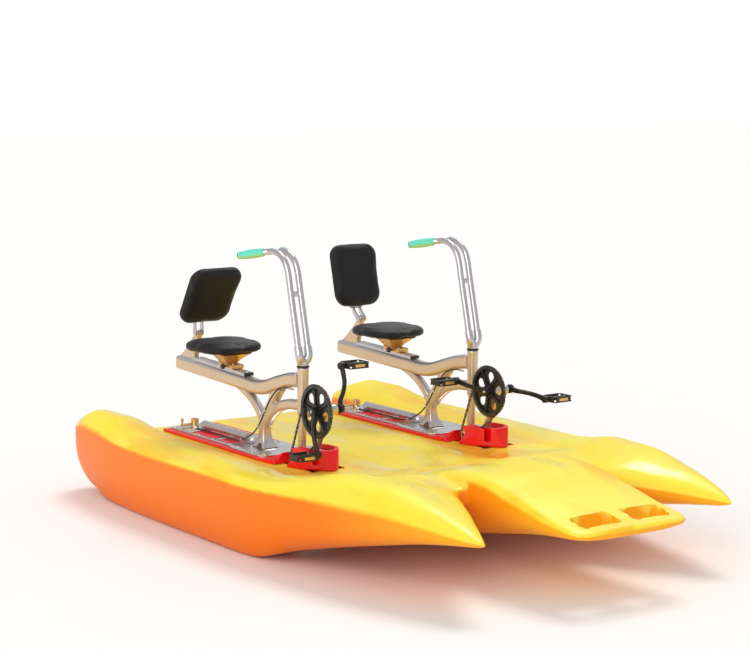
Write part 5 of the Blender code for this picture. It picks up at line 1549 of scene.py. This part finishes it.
def bar_line(side):
    y = side * 0.0225
    knots = [(-0.0085, y, 0.260), (-0.0505, y, 0.432), (-0.0700, y, 0.512), (-0.0920, y, 0.553),
             (-0.1300, y, 0.580), (-0.1750, y * 1.05, 0.5890)]
    start, along = grip_axis(side)
    lower = smooth_line([(0.0055, y, 0.203), (-0.0015, y, 0.231), (-0.0085, y, 0.260)], 4)[:-1]
    bend = smooth_line([*knots, start, start + along * 0.010], 8)
    return lower + bend + [start + along * 0.095]


def socket_form(name):
    """The forked casting that holds the two bars."""
    shape = bmesh.new()
    lathe(shape, [(0.0, 0.184), (0.014, 0.184), (0.0205, 0.176), (0.0225, 0.168), (0.0225, 0.1535),
                  (0.0215, 0.1512), (0.0, 0.1512)], 36)
    for side in (-1, 1):
        y = side * 0.0225
        line = smooth_line([(0.002, side * 0.008, 0.164), (0.0085, y * 0.92, 0.190), (-0.001, y, 0.227)], 8)
        widths = [(1.05 - 0.10 * i / (len(line) - 1),) * 2 for i in range(len(line))]
        sweep(shape, line, round_section(0.0168, 24), widths)
    item = as_piece(shape, name)
    return melt(item, 0.0014, 4)


def grip_form(shape, side):
    """A swollen grip with shallow finger ribs and a flared inner collar."""
    start, along = grip_axis(side)
    begin = start + along * 0.022
    rows = []
    for i in range(41):
        t = i / 40
        swelling = 0.0148 + 0.0036 * math.sin(math.pi * min(t * 1.15, 1.0)) ** 0.8
        rib = 0.0005 * math.cos(2 * math.pi * 8 * t) if 0.12 < t < 0.88 else 0.0
        end = (1 - max(0.0, (t - 0.90) / 0.10) ** 2 * 0.16)
        collar = 0.0016 * math.exp(-((t - 0.03) / 0.03) ** 2)
        rows.append((0.108 * t, (swelling + rib + collar) * end))
    path = [begin + along * d for d, r in rows]
    scales = [(r / 0.0185, r / 0.0185) for d, r in rows]
    sweep(shape, path, round_section(0.0185, 32), scales)


class PEDALBOAT_OT_steering(bpy.types.Operator):
    """Builds each drive's steering socket, bars, grips and cable"""

    bl_idname = "pedalboat.steering"
    bl_label = "Build the steering"

    def execute(self, context):
        for drive in DRIVES:
            place, body = drive.at["steer"], drive.body("steering")
            socket = socket_form(drive.node("socket"))
            socket.data.transform(place)
            settle(socket, "bar", body, [drive.node("steer_socket")], 60.0)
            shape = bmesh.new()
            for side in (-1, 1):
                pipe(shape, bar_line(side), 0.0125, 28)
            block(shape, (-0.0565, -0.0225, 0.4200), (-0.0440, 0.0225, 0.4400), 0.0025)
            bars = as_piece(shape, drive.node("bars"), place)
            settle(bars, "bar", body, [drive.node("handlebar")], 40.0)
            places = [((-0.0565, 0, 0.430), (0, -math.pi / 2, 0)), ((-0.0440, 0, 0.430), (0, math.pi / 2, 0))]
            places += [((0.0225 - 0.0006, y, 0.1620), (0, math.pi / 2, 0)) for y in (0.0,)]
            fixings(drive.node("bar_bolts"), drive, "steer", places, body, 0.8)
            for side, word in ((-1, "right"), (1, "left")):
                shape = bmesh.new()
                grip_form(shape, side)
                grip = as_piece(shape, drive.node("handgrip_" + word), place)
                settle(grip, "grip", body, [drive.node("grip_" + word)], 50.0)
                start, along = grip_axis(side)
                stop = bmesh.new()
                aim = along.to_track_quat("Z", "Y").to_matrix().to_4x4()
                lathe(stop, [(0.0, 0.0030), (0.0080, 0.0028), (0.0128, 0.0012), (0.0134, -0.0015), (0.0, -0.0020)],
                      28, Matrix.Translation(start + along * 0.1295) @ aim)
                plug = as_piece(stop, drive.node("grip_end_" + word), place)
                settle(plug, "rubber", body)
            cable(drive)
        return {"FINISHED"}


CABLE_ROUTE = [
    (-0.2080, -0.0290, 0.0560), (-0.2500, -0.0350, 0.0570), (-0.3050, -0.0370, 0.0440),
    (-0.3500, -0.0390, 0.0080), (-0.3950, -0.0400, -0.0480), (-0.4320, -0.0400, -0.1000),
    (-0.4780, -0.0430, -0.1520), (-0.5400, -0.0460, -0.1880), (-0.6200, -0.0400, PLATE_TOP + 0.0076),
    (-0.7400, -0.0280, PLATE_TOP + 0.0036), (-0.8700, -0.0280, PLATE_TOP + 0.0036),
    (-0.9600, -0.0340, PLATE_TOP + 0.0036), (-0.9850, -0.0400, PLATE_TOP + 0.0086),
]


def cable(drive):
    """The steering cable's sheath, its ferrules and the clips that hold it to the frame."""
    root = drive.at["root"]
    line = smooth_line(CABLE_ROUTE, 8)
    shape = bmesh.new()
    pipe(shape, line, 0.0030, 14)
    item = as_piece(shape, drive.node("cable_sheath"), root)
    settle(item, "rubber", "boat", [drive.node("steering_cable")], 60.0)
    metal = bmesh.new()
    for index in (2, len(line) - 3):
        ahead = (line[index + 1] - line[index - 1]).normalized()
        aim = ahead.to_track_quat("Z", "Y").to_matrix().to_4x4()
        lathe(metal, [(0.0, 0.012), (0.0038, 0.012), (0.0044, 0.010), (0.0044, -0.010), (0.0038, -0.012),
                      (0.0, -0.012)], 18, Matrix.Translation(line[index]) @ aim)
    for index in (33, 44, 61):
        ahead = (line[index + 1] - line[index - 1]).normalized()
        aim = ahead.to_track_quat("Z", "Y").to_matrix().to_4x4()
        washer(metal, 0.0046, 0.0029, -0.0055, 0.0055, 20, Matrix.Translation(line[index]) @ aim)
    clips = as_piece(metal, drive.node("cable_fittings"), root)
    settle(clips, "zinc", "boat")


# ---------------------------------------------------------------- cranks, chain and pedals
def tooth_template(depth, width, thick):
    """One sprocket tooth pointing along local Y, its base on the origin."""
    shape = bmesh.new()
    slab(shape, [[(-width / 2, -0.003), (width / 2, -0.003), (width * 0.42, depth * 0.4), (width * 0.16, depth),
                  (-width * 0.16, depth), (-width * 0.42, depth * 0.4)]], thick)
    return shape


def toothed(name, radius, teeth, depth, thick, y):
    """A ring of teeth about the Y axis."""
    shape = tooth_template(depth, CHAIN_PITCH * 0.62, thick)
    form = template("tooth_form", shape)
    places = []
    for i in range(teeth):
        angle = 2 * math.pi * i / teeth
        spot = (radius * math.sin(angle), y, radius * math.cos(angle))
        places.append((spot, (math.pi / 2, angle, 0.0)))
    return spots(name, places, form, "enamel")


def ring_form(name):
    """The chainring's web with five drop-shaped windows, its guard and its hub."""
    guard_low = CHAIN_PLANE + 0.0056
    drops = []
    for i in range(5):
        angle = 2 * math.pi * (i + 0.5) / 5
        arc = [(0.0625 + 0.0185 * math.cos(a), 0.0185 * math.sin(a))
               for a in [math.radians(-112 + 14 * k) for k in range(17)]]
        drop = [(0.0355, -0.0022), (0.0350, 0.0), (0.0355, 0.0022), *reversed(arc)][::-1]
        c, s = math.cos(angle), math.sin(angle)
        drops.append([(x * c - z * s, x * s + z * c) for x, z in drop])
    shape = bmesh.new()
    web = move(0, -(CHAIN_PLANE - 0.0005), 0) @ TURN_X
    slab(shape, [round_section(0.0945, 120), *drops, round_section(0.0095, 24)], 0.0050, 0.0008, web)
    slab(shape, [round_section(0.1065, 140), round_section(0.0885, 120)], 0.0034, 0.0010,
         move(0, -(guard_low + 0.0017), 0) @ TURN_X)
    for i in range(5):
        angle = 2 * math.pi * i / 5
        run = [Vector((r * math.cos(angle), -(CHAIN_PLANE + 0.0026), r * math.sin(angle)))
               for r in (0.020, 0.045, 0.070, 0.0915)]
        sweep(shape, run, soft_rectangle(0.0135, 0.0052, 0.0022, 3), [(1.25, 1.0), (0.85, 0.9), (0.80, 0.9),
                                                                     (1.3, 1.0)], side=(0, 1, 0))
    washer(shape, 0.0270, 0.0092, CHAIN_PLANE - 0.0028, CHAIN_PLANE + 0.0086, 48, TURN_X @ move(0, 0, 0))
    return as_piece(shape, name)


class PEDALBOAT_OT_cranksets(bpy.types.Operator):
    """Builds each drive's chainring, cranks and pedals"""

    bl_idname = "pedalboat.cranksets"
    bl_label = "Build the cranksets"

    def execute(self, context):
        for drive in DRIVES:
            body = drive.body("crankset")
            ring = ring_form(drive.node("ring"))
            ring.data.transform(drive.at["crank"])
            settle(ring, "enamel", body, [drive.node("chainring")], 35.0)
            teeth = toothed(drive.node("ring_teeth"), 0.0935, sizes().ring_teeth, 0.0060, 0.0026, -CHAIN_PLANE)
            teeth.data.transform(drive.at["crank"])
            settle(teeth, "chain", body)
            edge = guard_studs(drive.node("guard_studs"))
            edge.data.transform(drive.at["crank"])
            settle(edge, "chain", body)
            inner = CHAIN_PLANE + 0.0093
            crank(drive, "crank", -1, inner, 0.095, "crank_right")
            crank(drive, "crank_back", 1, 0.048, 0.108, "crank_left")
            pedal(drive, "right", -1, 0.095)
            pedal(drive, "left", 1, 0.108)
        return {"FINISHED"}


def guard_studs(name):
    """Bright rivets round the guard's outer face."""
    shape = bmesh.new()
    lathe(shape, [(0.0, 0.0011), (0.0013, 0.0008), (0.0018, 0.0), (0.0, -0.0004)], 8)
    form = template("stud_form", shape)
    places = []
    for i in range(50):
        angle = 2 * math.pi * (i + 0.5) / 50
        places.append(((0.0985 * math.cos(angle), -(CHAIN_PLANE + 0.0090), 0.0985 * math.sin(angle)),
                       (math.pi / 2, 0, 0)))
    return spots(name, places, form, "zinc")


def crank(drive, frame_name, side, inner, outer, node):
    """A forged crank: splined hub with its bolt, tapered arm with a fluted face, boss and spindle."""
    length = CRANK_LENGTH
    y0, y1 = side * (inner + 0.011), side * outer
    knots = [(0, y0, 0.004), (0, y0 + (y1 - y0) * 0.10, -0.030), (0, y0 + (y1 - y0) * 0.55, -0.062),
             (0, y0 + (y1 - y0) * 0.90, -0.100), (0, y1, -0.140), (0, y1, -length)]
    line = smooth_line(knots, 6)
    shape = bmesh.new()
    steps = len(line) - 1
    widths = [(1.18 - 0.38 * math.sin(math.pi * min(i / steps * 1.05, 1.0)) ** 0.8, 1.10 - 0.25 * i / steps)
              for i in range(steps + 1)]
    section = [(0.0112 * squared(2 * math.pi * i / 28, 3.0)[0], 0.0078 * squared(2 * math.pi * i / 28, 3.0)[1])
               for i in range(28)]
    sweep(shape, line, section, widths, side=(1, 0, 0))
    flip = TURN_X if side < 0 else TURN_X @ turn(math.pi, "X")
    lathe(shape, [(0.0, inner), (0.0165, inner), (0.0185, inner + 0.0015), (0.0185, inner + 0.014),
                  (0.0160, inner + 0.019), (0.0110, inner + 0.0195), (0.0095, inner + 0.0175),
                  (0.0, inner + 0.0172)], 36, flip)
    lathe(shape, [(0.0, outer - 0.0120), (0.0118, outer - 0.0120), (0.0136, outer - 0.0100),
                  (0.0136, outer + 0.0100), (0.0118, outer + 0.0120), (0.0, outer + 0.0120)], 32,
          move(0, 0, -length) @ flip)
    reach = outer + 0.0125 + 0.084
    lathe(shape, [(0.0, outer), (0.0043, outer), (0.0043, reach), (0.0, reach)], 16, move(0, 0, -length) @ flip)
    if side > 0:
        lathe(shape, [(0.0, -0.0760), (0.0082, -0.0760), (0.0082, 0.060), (0.0, 0.060)], 20, flip)
    item = as_piece(shape, drive.node(node.replace("crank", "arm")), drive.at[frame_name])
    body = drive.body("crankset")
    settle(item, "enamel", body, [drive.node(node)], 35.0)
    bolt = spots(drive.node(node + "_bolt"), [((0, side * (inner + 0.0172), 0), (-side * math.pi / 2, 0, 0))],
                 bolt_template(), "zinc", 1.25)
    bolt.data.transform(drive.at[frame_name])
    settle(bolt, "zinc", body)


def pedal(drive, word, side, crank_end):
    """A cage pedal: a barrel on the spindle, two toothed plates, an end plate and reflectors."""
    near = crank_end + 0.0125 + 0.0012
    far = near + 0.096
    low, high = (-far, -near) if side < 0 else (near, far)
    half_l, half_h = 0.040, 0.012
    shape = bmesh.new()
    flip = TURN_X if side < 0 else TURN_X @ turn(math.pi, "X")
    lathe(shape, [(0.0, near), (0.0098, near), (0.0108, near + 0.002), (0.0108, near + 0.014),
                  (0.0088, near + 0.020), (0.0088, far - 0.020), (0.0105, far - 0.014), (0.0105, far - 0.002),
                  (0.0090, far), (0.0, far)], 28, flip)
    loop = soft_rectangle(2 * half_l, 0.096, 0.012, 5)
    inner = soft_rectangle(2 * half_l - 0.009, 0.096 - 0.009, 0.009, 5)
    for z in (-half_h + 0.0022, half_h - 0.0022):
        slab(shape, [loop, inner], 0.0042, 0.0010, move(0, (low + high) / 2, z))
    for x in (-half_l + 0.0028, half_l - 0.0028):
        block(shape, (x - 0.0022, low + 0.012, -half_h + 0.002), (x + 0.0022, high - 0.012, half_h - 0.002), 0.0010)
    for y in (low + 0.0040, high - 0.0040):
        block(shape, (-half_l + 0.010, y - 0.0032, -0.0085), (half_l - 0.010, y + 0.0032, 0.0085), 0.0015)
    for y in (low + 0.032, high - 0.032):
        block(shape, (-half_l + 0.004, y - 0.0028, -0.0062), (half_l - 0.004, y + 0.0028, 0.0062), 0.0012)
    place = drive.at["pedal_" + word]
    body = drive.body("pedal_" + word)
    item = as_piece(shape, drive.node("pedal_cage_" + word), place)
    settle(item, "nylon", body, [drive.node("pedal_" + word)], 35.0)
    stud = bmesh.new()
    lathe(stud, [(0.0, 0.0016), (0.0011, 0.0012), (0.0017, 0.0), (0.0, -0.0008)], 8)
    places = []
    for top in (-1, 1):
        aim = (0, 0, 0) if top > 0 else (math.pi, 0, 0)
        for x in (-half_l + 0.0028, half_l - 0.0028):
            places += [((x, low + 0.016 + 0.0107 * i, top * (half_h - 0.0002)), aim) for i in range(7)]
    grips = spots(drive.node("pedal_studs_" + word), places, template("stud_form", stud), "nylon")
    grips.data.transform(place)
    settle(grips, "nylon", body)
    glass = bmesh.new()
    for x in (-half_l - 0.0001, half_l + 0.0001):
        block(glass, (x - 0.0009, low + 0.026, -0.0058), (x + 0.0009, high - 0.026, 0.0058), 0.0006)
    lens = as_piece(glass, drive.node("pedal_lens_" + word), place)
    settle(lens, "bronze", body)


def belt_path(extra=0.0, count=240):
    """Even points along the chain's pitch line."""
    dx, dz = SPROCKET_AT
    distance, heading = math.hypot(dx, dz), math.atan2(dz, dx)
    lean = math.acos((RING_RADIUS - SPROCKET_RADIUS) / distance)
    line = []
    for i in range(97):
        a = heading + lean + (2 * math.pi - 2 * lean) * i / 96
        line.append(Vector(((RING_RADIUS + extra) * math.cos(a), -CHAIN_PLANE, (RING_RADIUS + extra) * math.sin(a))))
    for i in range(25):
        a = heading - lean + 2 * lean * i / 24
        line.append(Vector((dx + (SPROCKET_RADIUS + extra) * math.cos(a), -CHAIN_PLANE,
                            dz + (SPROCKET_RADIUS + extra) * math.sin(a))))
    return line


def link_template(wide):
    """One link lying along X: two waisted plates and a roller."""
    shape = bmesh.new()
    outline = []
    for end in (1, -1):
        for i in range(5):
            a = math.radians(-80 + 40 * i) if end > 0 else math.radians(100 + 40 * i)
            outline.append((end * CHAIN_PITCH / 2 + 0.0040 * math.cos(a), 0.0040 * math.sin(a)))
        outline.append((0.0, end * 0.0027))
    for side in (-1, 1):
        slab(shape, [outline], 0.0010, 0.0, move(0, side * wide, 0) @ TURN_X)
    lathe(shape, [(0.0, -wide), (0.0030, -wide), (0.0030, wide), (0.0, wide)], 8, TURN_X)
    return template("link_form", shape)


class PEDALBOAT_OT_chains(bpy.types.Operator):
    """Builds each drive's chain and lower sprocket"""

    bl_idname = "pedalboat.chains"
    bl_label = "Build the chains"

    def execute(self, context):
        for drive in DRIVES:
            path = belt_path()
            total = sum((b - a).length for a, b in zip(path, path[1:] + path[:1]))
            count = 2 * round(total / CHAIN_PITCH / 2)
            row = row_on_path(drive.node("chain_links"), path, count, link_template(0.0020),
                              link_template(0.0033), "chain")
            row.data.transform(drive.at["root"])
            settle(row, "chain", "boat", [drive.node("chain")], 35.0)
            sprocket(drive)
        return {"FINISHED"}


def sprocket(drive):
    face = CHAIN_PLANE
    shape = bmesh.new()
    lathe(shape, [(0.0, 0.0300), (0.0058, 0.0300), (0.0058, face - 0.005), (0.0190, face - 0.0025),
                  (0.0225, face - 0.0012), (0.0225, face + 0.0012), (0.0195, face + 0.0035),
                  (0.0165, face + 0.0090), (0.0135, face + 0.0115), (0.0090, face + 0.0118),
                  (0.0080, face + 0.0105), (0.0, face + 0.0103)], 40, TURN_X)
    place, body = drive.at["sprocket"], drive.body("sprocket")
    item = as_piece(shape, drive.node("sprocket_hub"), place)
    settle(item, "bronze", body, [drive.node("drive_sprocket")], 35.0)
    teeth = toothed(drive.node("sprocket_teeth"), 0.0222, 14, 0.0052, 0.0024, -face)
    teeth.data.transform(place)
    settle(teeth, "bronze", body)
    cap = bmesh.new()
    lathe(cap, [(0.0, face + 0.0100), (0.0062, face + 0.0100), (0.0062, face + 0.0130), (0.0050, face + 0.0136),
                (0.0, face + 0.0137)], 24, TURN_X)
    end = as_piece(cap, drive.node("sprocket_cap"), place)
    settle(end, "nylon", body)


# ---------------------------------------------------------------- pod, propeller, rudder and controls
def pod_form(name):
    shape = bmesh.new()
    block(shape, (-0.2195, -0.0275, -0.2615), (-0.0605, 0.0515, -0.1775), 0.006)
    rows = []
    for i in range(13):
        t = i / 12
        half_x, half_y = 0.049 - 0.016 * t, 0.0155 - 0.0058 * t
        z = -0.258 + (POD_DROP + 0.010 + 0.258) * t
        row = []
        for k in range(40):
            a = 2 * math.pi * k / 40
            row.append(shape.verts.new((-0.140 + half_x * math.cos(a), half_y * math.sin(a), z)))
        rows.append(row)
    skin(shape, rows)
    lathe(shape, [(0.0, 0.1745), (0.0085, 0.1715), (0.0160, 0.1645), (0.0215, 0.152), (0.0248, 0.135),
                  (0.0258, 0.110), (0.0258, 0.045), (0.0240, 0.022), (0.0190, 0.003), (0.0172, 0.0), (0.0, 0.0)],
          44, move(POD_REAR, 0, POD_DROP) @ TURN_Y)
    item = as_piece(shape, name)
    return melt(item, 0.0026, 4)


def propeller_form(name):
    """Three twisted, thin-edged blades on a tapered hub."""
    shape = bmesh.new()
    lathe(shape, [(0.0, 0.0), (0.0158, -0.0002), (0.0172, -0.010), (0.0168, -0.034), (0.0130, -0.050),
                  (0.0065, -0.058), (0.0, -0.0597)], 36, TURN_Y)
    for blade in range(3):
        rows = []
        for i in range(15):
            t = i / 14
            radius = 0.012 + 0.0755 * t
            chord = 0.016 + 0.040 * math.sin(math.pi * (0.12 + 0.80 * t)) ** 0.9
            if t > 0.85:
                chord *= 1.0 - ((t - 0.85) / 0.16) ** 2
            pitch = math.radians(62.0 - 34.0 * t)
            thick = 0.0034 - 0.0022 * t
            row = []
            for k in range(18):
                a = 2 * math.pi * k / 18
                u, v = chord / 2 * math.cos(a), thick / 2 * math.sin(a)
                u += 0.006 * t
                x = u * math.sin(pitch) + v * math.cos(pitch)
                y = u * math.cos(pitch) - v * math.sin(pitch)
                spot = turn(2 * math.pi * blade / 3, "X") @ Vector((x - 0.024, y, radius))
                row.append(shape.verts.new(spot))
            rows.append(row)
        skin(shape, rows)
    return as_piece(shape, name)


def rudder_form(name):
    """A foil-sectioned blade on its stock."""
    shape = bmesh.new()
    top, low = -0.325, -0.495
    rows = []
    for i in range(15):
        t = i / 14
        z = top + (low - top) * t
        ease = math.sqrt(max(0.0, 1 - (2 * t - 1) ** 8))
        front = 0.035 - 0.026 * t**2 - 0.010 * (1 - ease)
        rear = -0.155 + 0.050 * t + 0.020 * (1 - ease)
        row = []
        for k in range(32):
            a = 2 * math.pi * k / 32
            c = 0.5 + 0.5 * math.cos(a)
            thick = 0.0060 * (math.sqrt(max(1 - c, 0.0)) * 1.30 * c + 0.10) * (0.35 + 0.65 * ease)
            row.append(shape.verts.new((front + (rear - front) * (1 - c), thick * math.copysign(1, math.sin(a))
                                        if 0 < k < 32 and k != 16 else 0.0, z)))
        rows.append(row)
    skin(shape, rows)
    lathe(shape, [(0.0, -0.1902), (0.0070, -0.1902), (0.0083, -0.1915), (0.0083, -0.474), (0.0, -0.475)], 28)
    return as_piece(shape, name)


class PEDALBOAT_OT_running_gear(bpy.types.Operator):
    """Builds each drive's pod, propeller, rudder, tiller and guide tube"""

    bl_idname = "pedalboat.running_gear"
    bl_label = "Build the running gear"

    def execute(self, context):
        for drive in DRIVES:
            root = drive.at["root"]
            pod = pod_form(drive.node("pod"))
            pod.data.transform(root)
            settle(pod, "bar", "boat", [drive.node("drive_pod")], 60.0)
            screw = propeller_form(drive.node("screw"))
            screw.data.transform(drive.at["propeller"])
            settle(screw, "bronze", drive.body("propeller"), [drive.node("propeller")], 40.0)
            blade = rudder_form(drive.node("rudder_blade"))
            blade.data.transform(drive.at["rudder"])
            settle(blade, "nylon", drive.body("rudder"), [drive.node("rudder")], 40.0)
            tiller(drive)
            guide(drive)
        return {"FINISHED"}


def tiller(drive):
    """The bronze arm on the rudder's stock, with its clamp bolt and cable post."""
    low = PLATE_TOP + 0.0013
    shape = bmesh.new()
    washer(shape, 0.0168, 0.0088, low, -0.1868, 36)
    arm = [(-0.010, -0.0100), (-0.0085, -0.062), (-0.0060, -0.0690), (0.0, -0.0712), (0.0060, -0.0690),
           (0.0085, -0.062), (0.010, -0.0100)]
    slab(shape, [arm], 0.0076, 0.0012, move(0, 0, low + 0.008))
    lathe(shape, [(0.0, low + 0.034), (0.0052, low + 0.0338), (0.0072, low + 0.0320), (0.0072, low + 0.0270),
                  (0.0048, low + 0.0255), (0.0048, low + 0.0140), (0.0072, low + 0.0125), (0.0072, low + 0.0065),
                  (0.0, low + 0.0062)], 24, move(0, -0.062, 0))
    block(shape, (-0.0045, 0.0125, low + 0.006), (0.0045, 0.0168, low + 0.022), 0.001)
    item = as_piece(shape, drive.node("tiller_arm"), drive.at["rudder"])
    settle(item, "bronze", drive.body("rudder"), [drive.node("tiller")], 35.0)
    places = [((0, -0.062, low + 0.034), (0, 0, 0)), ((0.0, -0.034, low + 0.0118), (0, 0, 0))]
    fixings(drive.node("tiller_bolts"), drive, "rudder", places, drive.body("rudder"), 0.8)


def guide(drive):
    """The guard tube over the cable, flattened at its blocks."""
    z = PLATE_TOP + 0.019
    low = PLATE_TOP + 0.0003
    shape = bmesh.new()
    line = [Vector((x, 0, z)) for x in spread(-0.9645, -0.6005, 24)]
    sweep(shape, line, round_section(0.0164, 36), side=(0, 1, 0))
    block(shape, (-0.959, -0.0198, low), (-0.931, 0.0198, z + 0.004), 0.0025)
    block(shape, (-0.608, -0.0198, low), (-0.555, 0.0198, z + 0.006), 0.0030)
    item = as_piece(shape, drive.node("guard_tube"), drive.at["root"])
    settle(item, "bar", "boat", [drive.node("guide_tube")], 35.0)
    rod = bmesh.new()
    pipe(rod, smooth_line([(-0.958, 0.0, z), (-0.972, -0.002, z), (-0.986, -0.007, z - 0.002),
                           (-0.996, -0.014, z - 0.003)], 6), 0.0030, 14)
    link = as_piece(rod, drive.node("push_rod"), drive.at["root"])
    settle(link, "zinc", "boat")
    places = [((x, y, z + 0.006), (0, 0, 0)) for x in (-0.568,) for y in (-0.011, 0.011)]
    fixings(drive.node("guide_bolts"), drive, "root", places, "boat", 0.7)


# ---------------------------------------------------------------- stage
class PEDALBOAT_OT_stage(bpy.types.Operator):
    """Sets the floor, the soft lights and the camera"""

    bl_idname = "pedalboat.stage"
    bl_label = "Set the stage"

    def execute(self, context):
        scene = context.scene
        shape = bmesh.new()
        bmesh.ops.create_grid(shape, x_segments=1, y_segments=1, size=40.0)
        floor = as_piece(shape, "floor", move(0, 0, -0.001))
        floor.data.materials.append(finish("floor"))
        world = bpy.data.worlds.new("studio")
        world.use_nodes = True
        nodes, links = world.node_tree.nodes, world.node_tree.links
        nodes["Background"].inputs["Color"].default_value = (1.0, 1.0, 1.0, 1.0)
        seen = nodes.new("ShaderNodeLightPath")
        level = nodes.new("ShaderNodeMapRange")
        level.inputs["To Min"].default_value = 0.58
        level.inputs["To Max"].default_value = 1.05
        links.new(seen.outputs["Is Camera Ray"], level.inputs["Value"])
        links.new(level.outputs[0], nodes["Background"].inputs["Strength"])
        scene.world = world
        scene.view_settings.view_transform = "Standard"
        lamp("key_lamp", "SUN", (-0.42, 0.50, 1.0), 1.25, (1.0, 0.97, 0.92), math.radians(24))
        lamp("fill_lamp", "SUN", (0.45, -0.85, 0.42), 1.25, (1.0, 0.99, 0.97), math.radians(50))
        data = bpy.data.cameras.new("view")
        data.lens = 96.0
        data.sensor_width = 36.0
        camera = bpy.data.objects.new("view", data)
        camera.location = (6.483, -4.613, 1.866)
        camera.rotation_euler = (math.radians(82.5), 0.0, math.radians(55.3))
        scene.collection.objects.link(camera)
        scene.camera = camera
        return {"FINISHED"}


def lamp(name, kind, towards, strength, colour, size):
    """A far soft light that shines down from a direction."""
    data = bpy.data.lights.new(name, kind)
    data.energy = strength
    data.color = colour
    data.angle = size
    item = bpy.data.objects.new(name, data)
    item.rotation_euler = Vector(towards).to_track_quat("Z", "Y").to_euler()
    item.location = Vector(towards) * 6.0
    bpy.context.scene.collection.objects.link(item)


# ---------------------------------------------------------------- panel and registration
class PEDALBOAT_PT_panel(bpy.types.Panel):
    bl_label = "Pedal boat"
    bl_idname = "PEDALBOAT_PT_panel"
    bl_space_type = "VIEW_3D"
    bl_region_type = "UI"
    bl_category = "Pedal boat"

    def draw(self, context):
        layout = self.layout
        for group in (context.scene.pedal_boat_look, context.scene.pedal_boat_sizes):
            box = layout.box()
            for key in group.__annotations__:
                box.prop(group, key)
        for operator in OPERATORS:
            layout.operator(operator.bl_idname)


OPERATORS = (
    PEDALBOAT_OT_hull, PEDALBOAT_OT_bases, PEDALBOAT_OT_frames, PEDALBOAT_OT_seats,
    PEDALBOAT_OT_steering, PEDALBOAT_OT_cranksets, PEDALBOAT_OT_chains, PEDALBOAT_OT_running_gear,
    PEDALBOAT_OT_stage,
)
CLASSES = (PedalBoatLook, PedalBoatSizes, *OPERATORS, PEDALBOAT_PT_panel)


def register():
    for entry in CLASSES:
        bpy.utils.register_class(entry)
    bpy.types.Scene.pedal_boat_look = bpy.props.PointerProperty(type=PedalBoatLook)
    bpy.types.Scene.pedal_boat_sizes = bpy.props.PointerProperty(type=PedalBoatSizes)


def unregister():
    del bpy.types.Scene.pedal_boat_look
    del bpy.types.Scene.pedal_boat_sizes
    for entry in reversed(CLASSES):
        bpy.utils.unregister_class(entry)


def main():
    register()
    bpy.ops.pedalboat.hull()
    bpy.ops.pedalboat.bases()
    bpy.ops.pedalboat.frames()
    bpy.ops.pedalboat.seats()
    bpy.ops.pedalboat.steering()
    bpy.ops.pedalboat.cranksets()
    bpy.ops.pedalboat.chains()
    bpy.ops.pedalboat.running_gear()
    bpy.ops.pedalboat.stage()


if __name__ == "__main__":
    main()
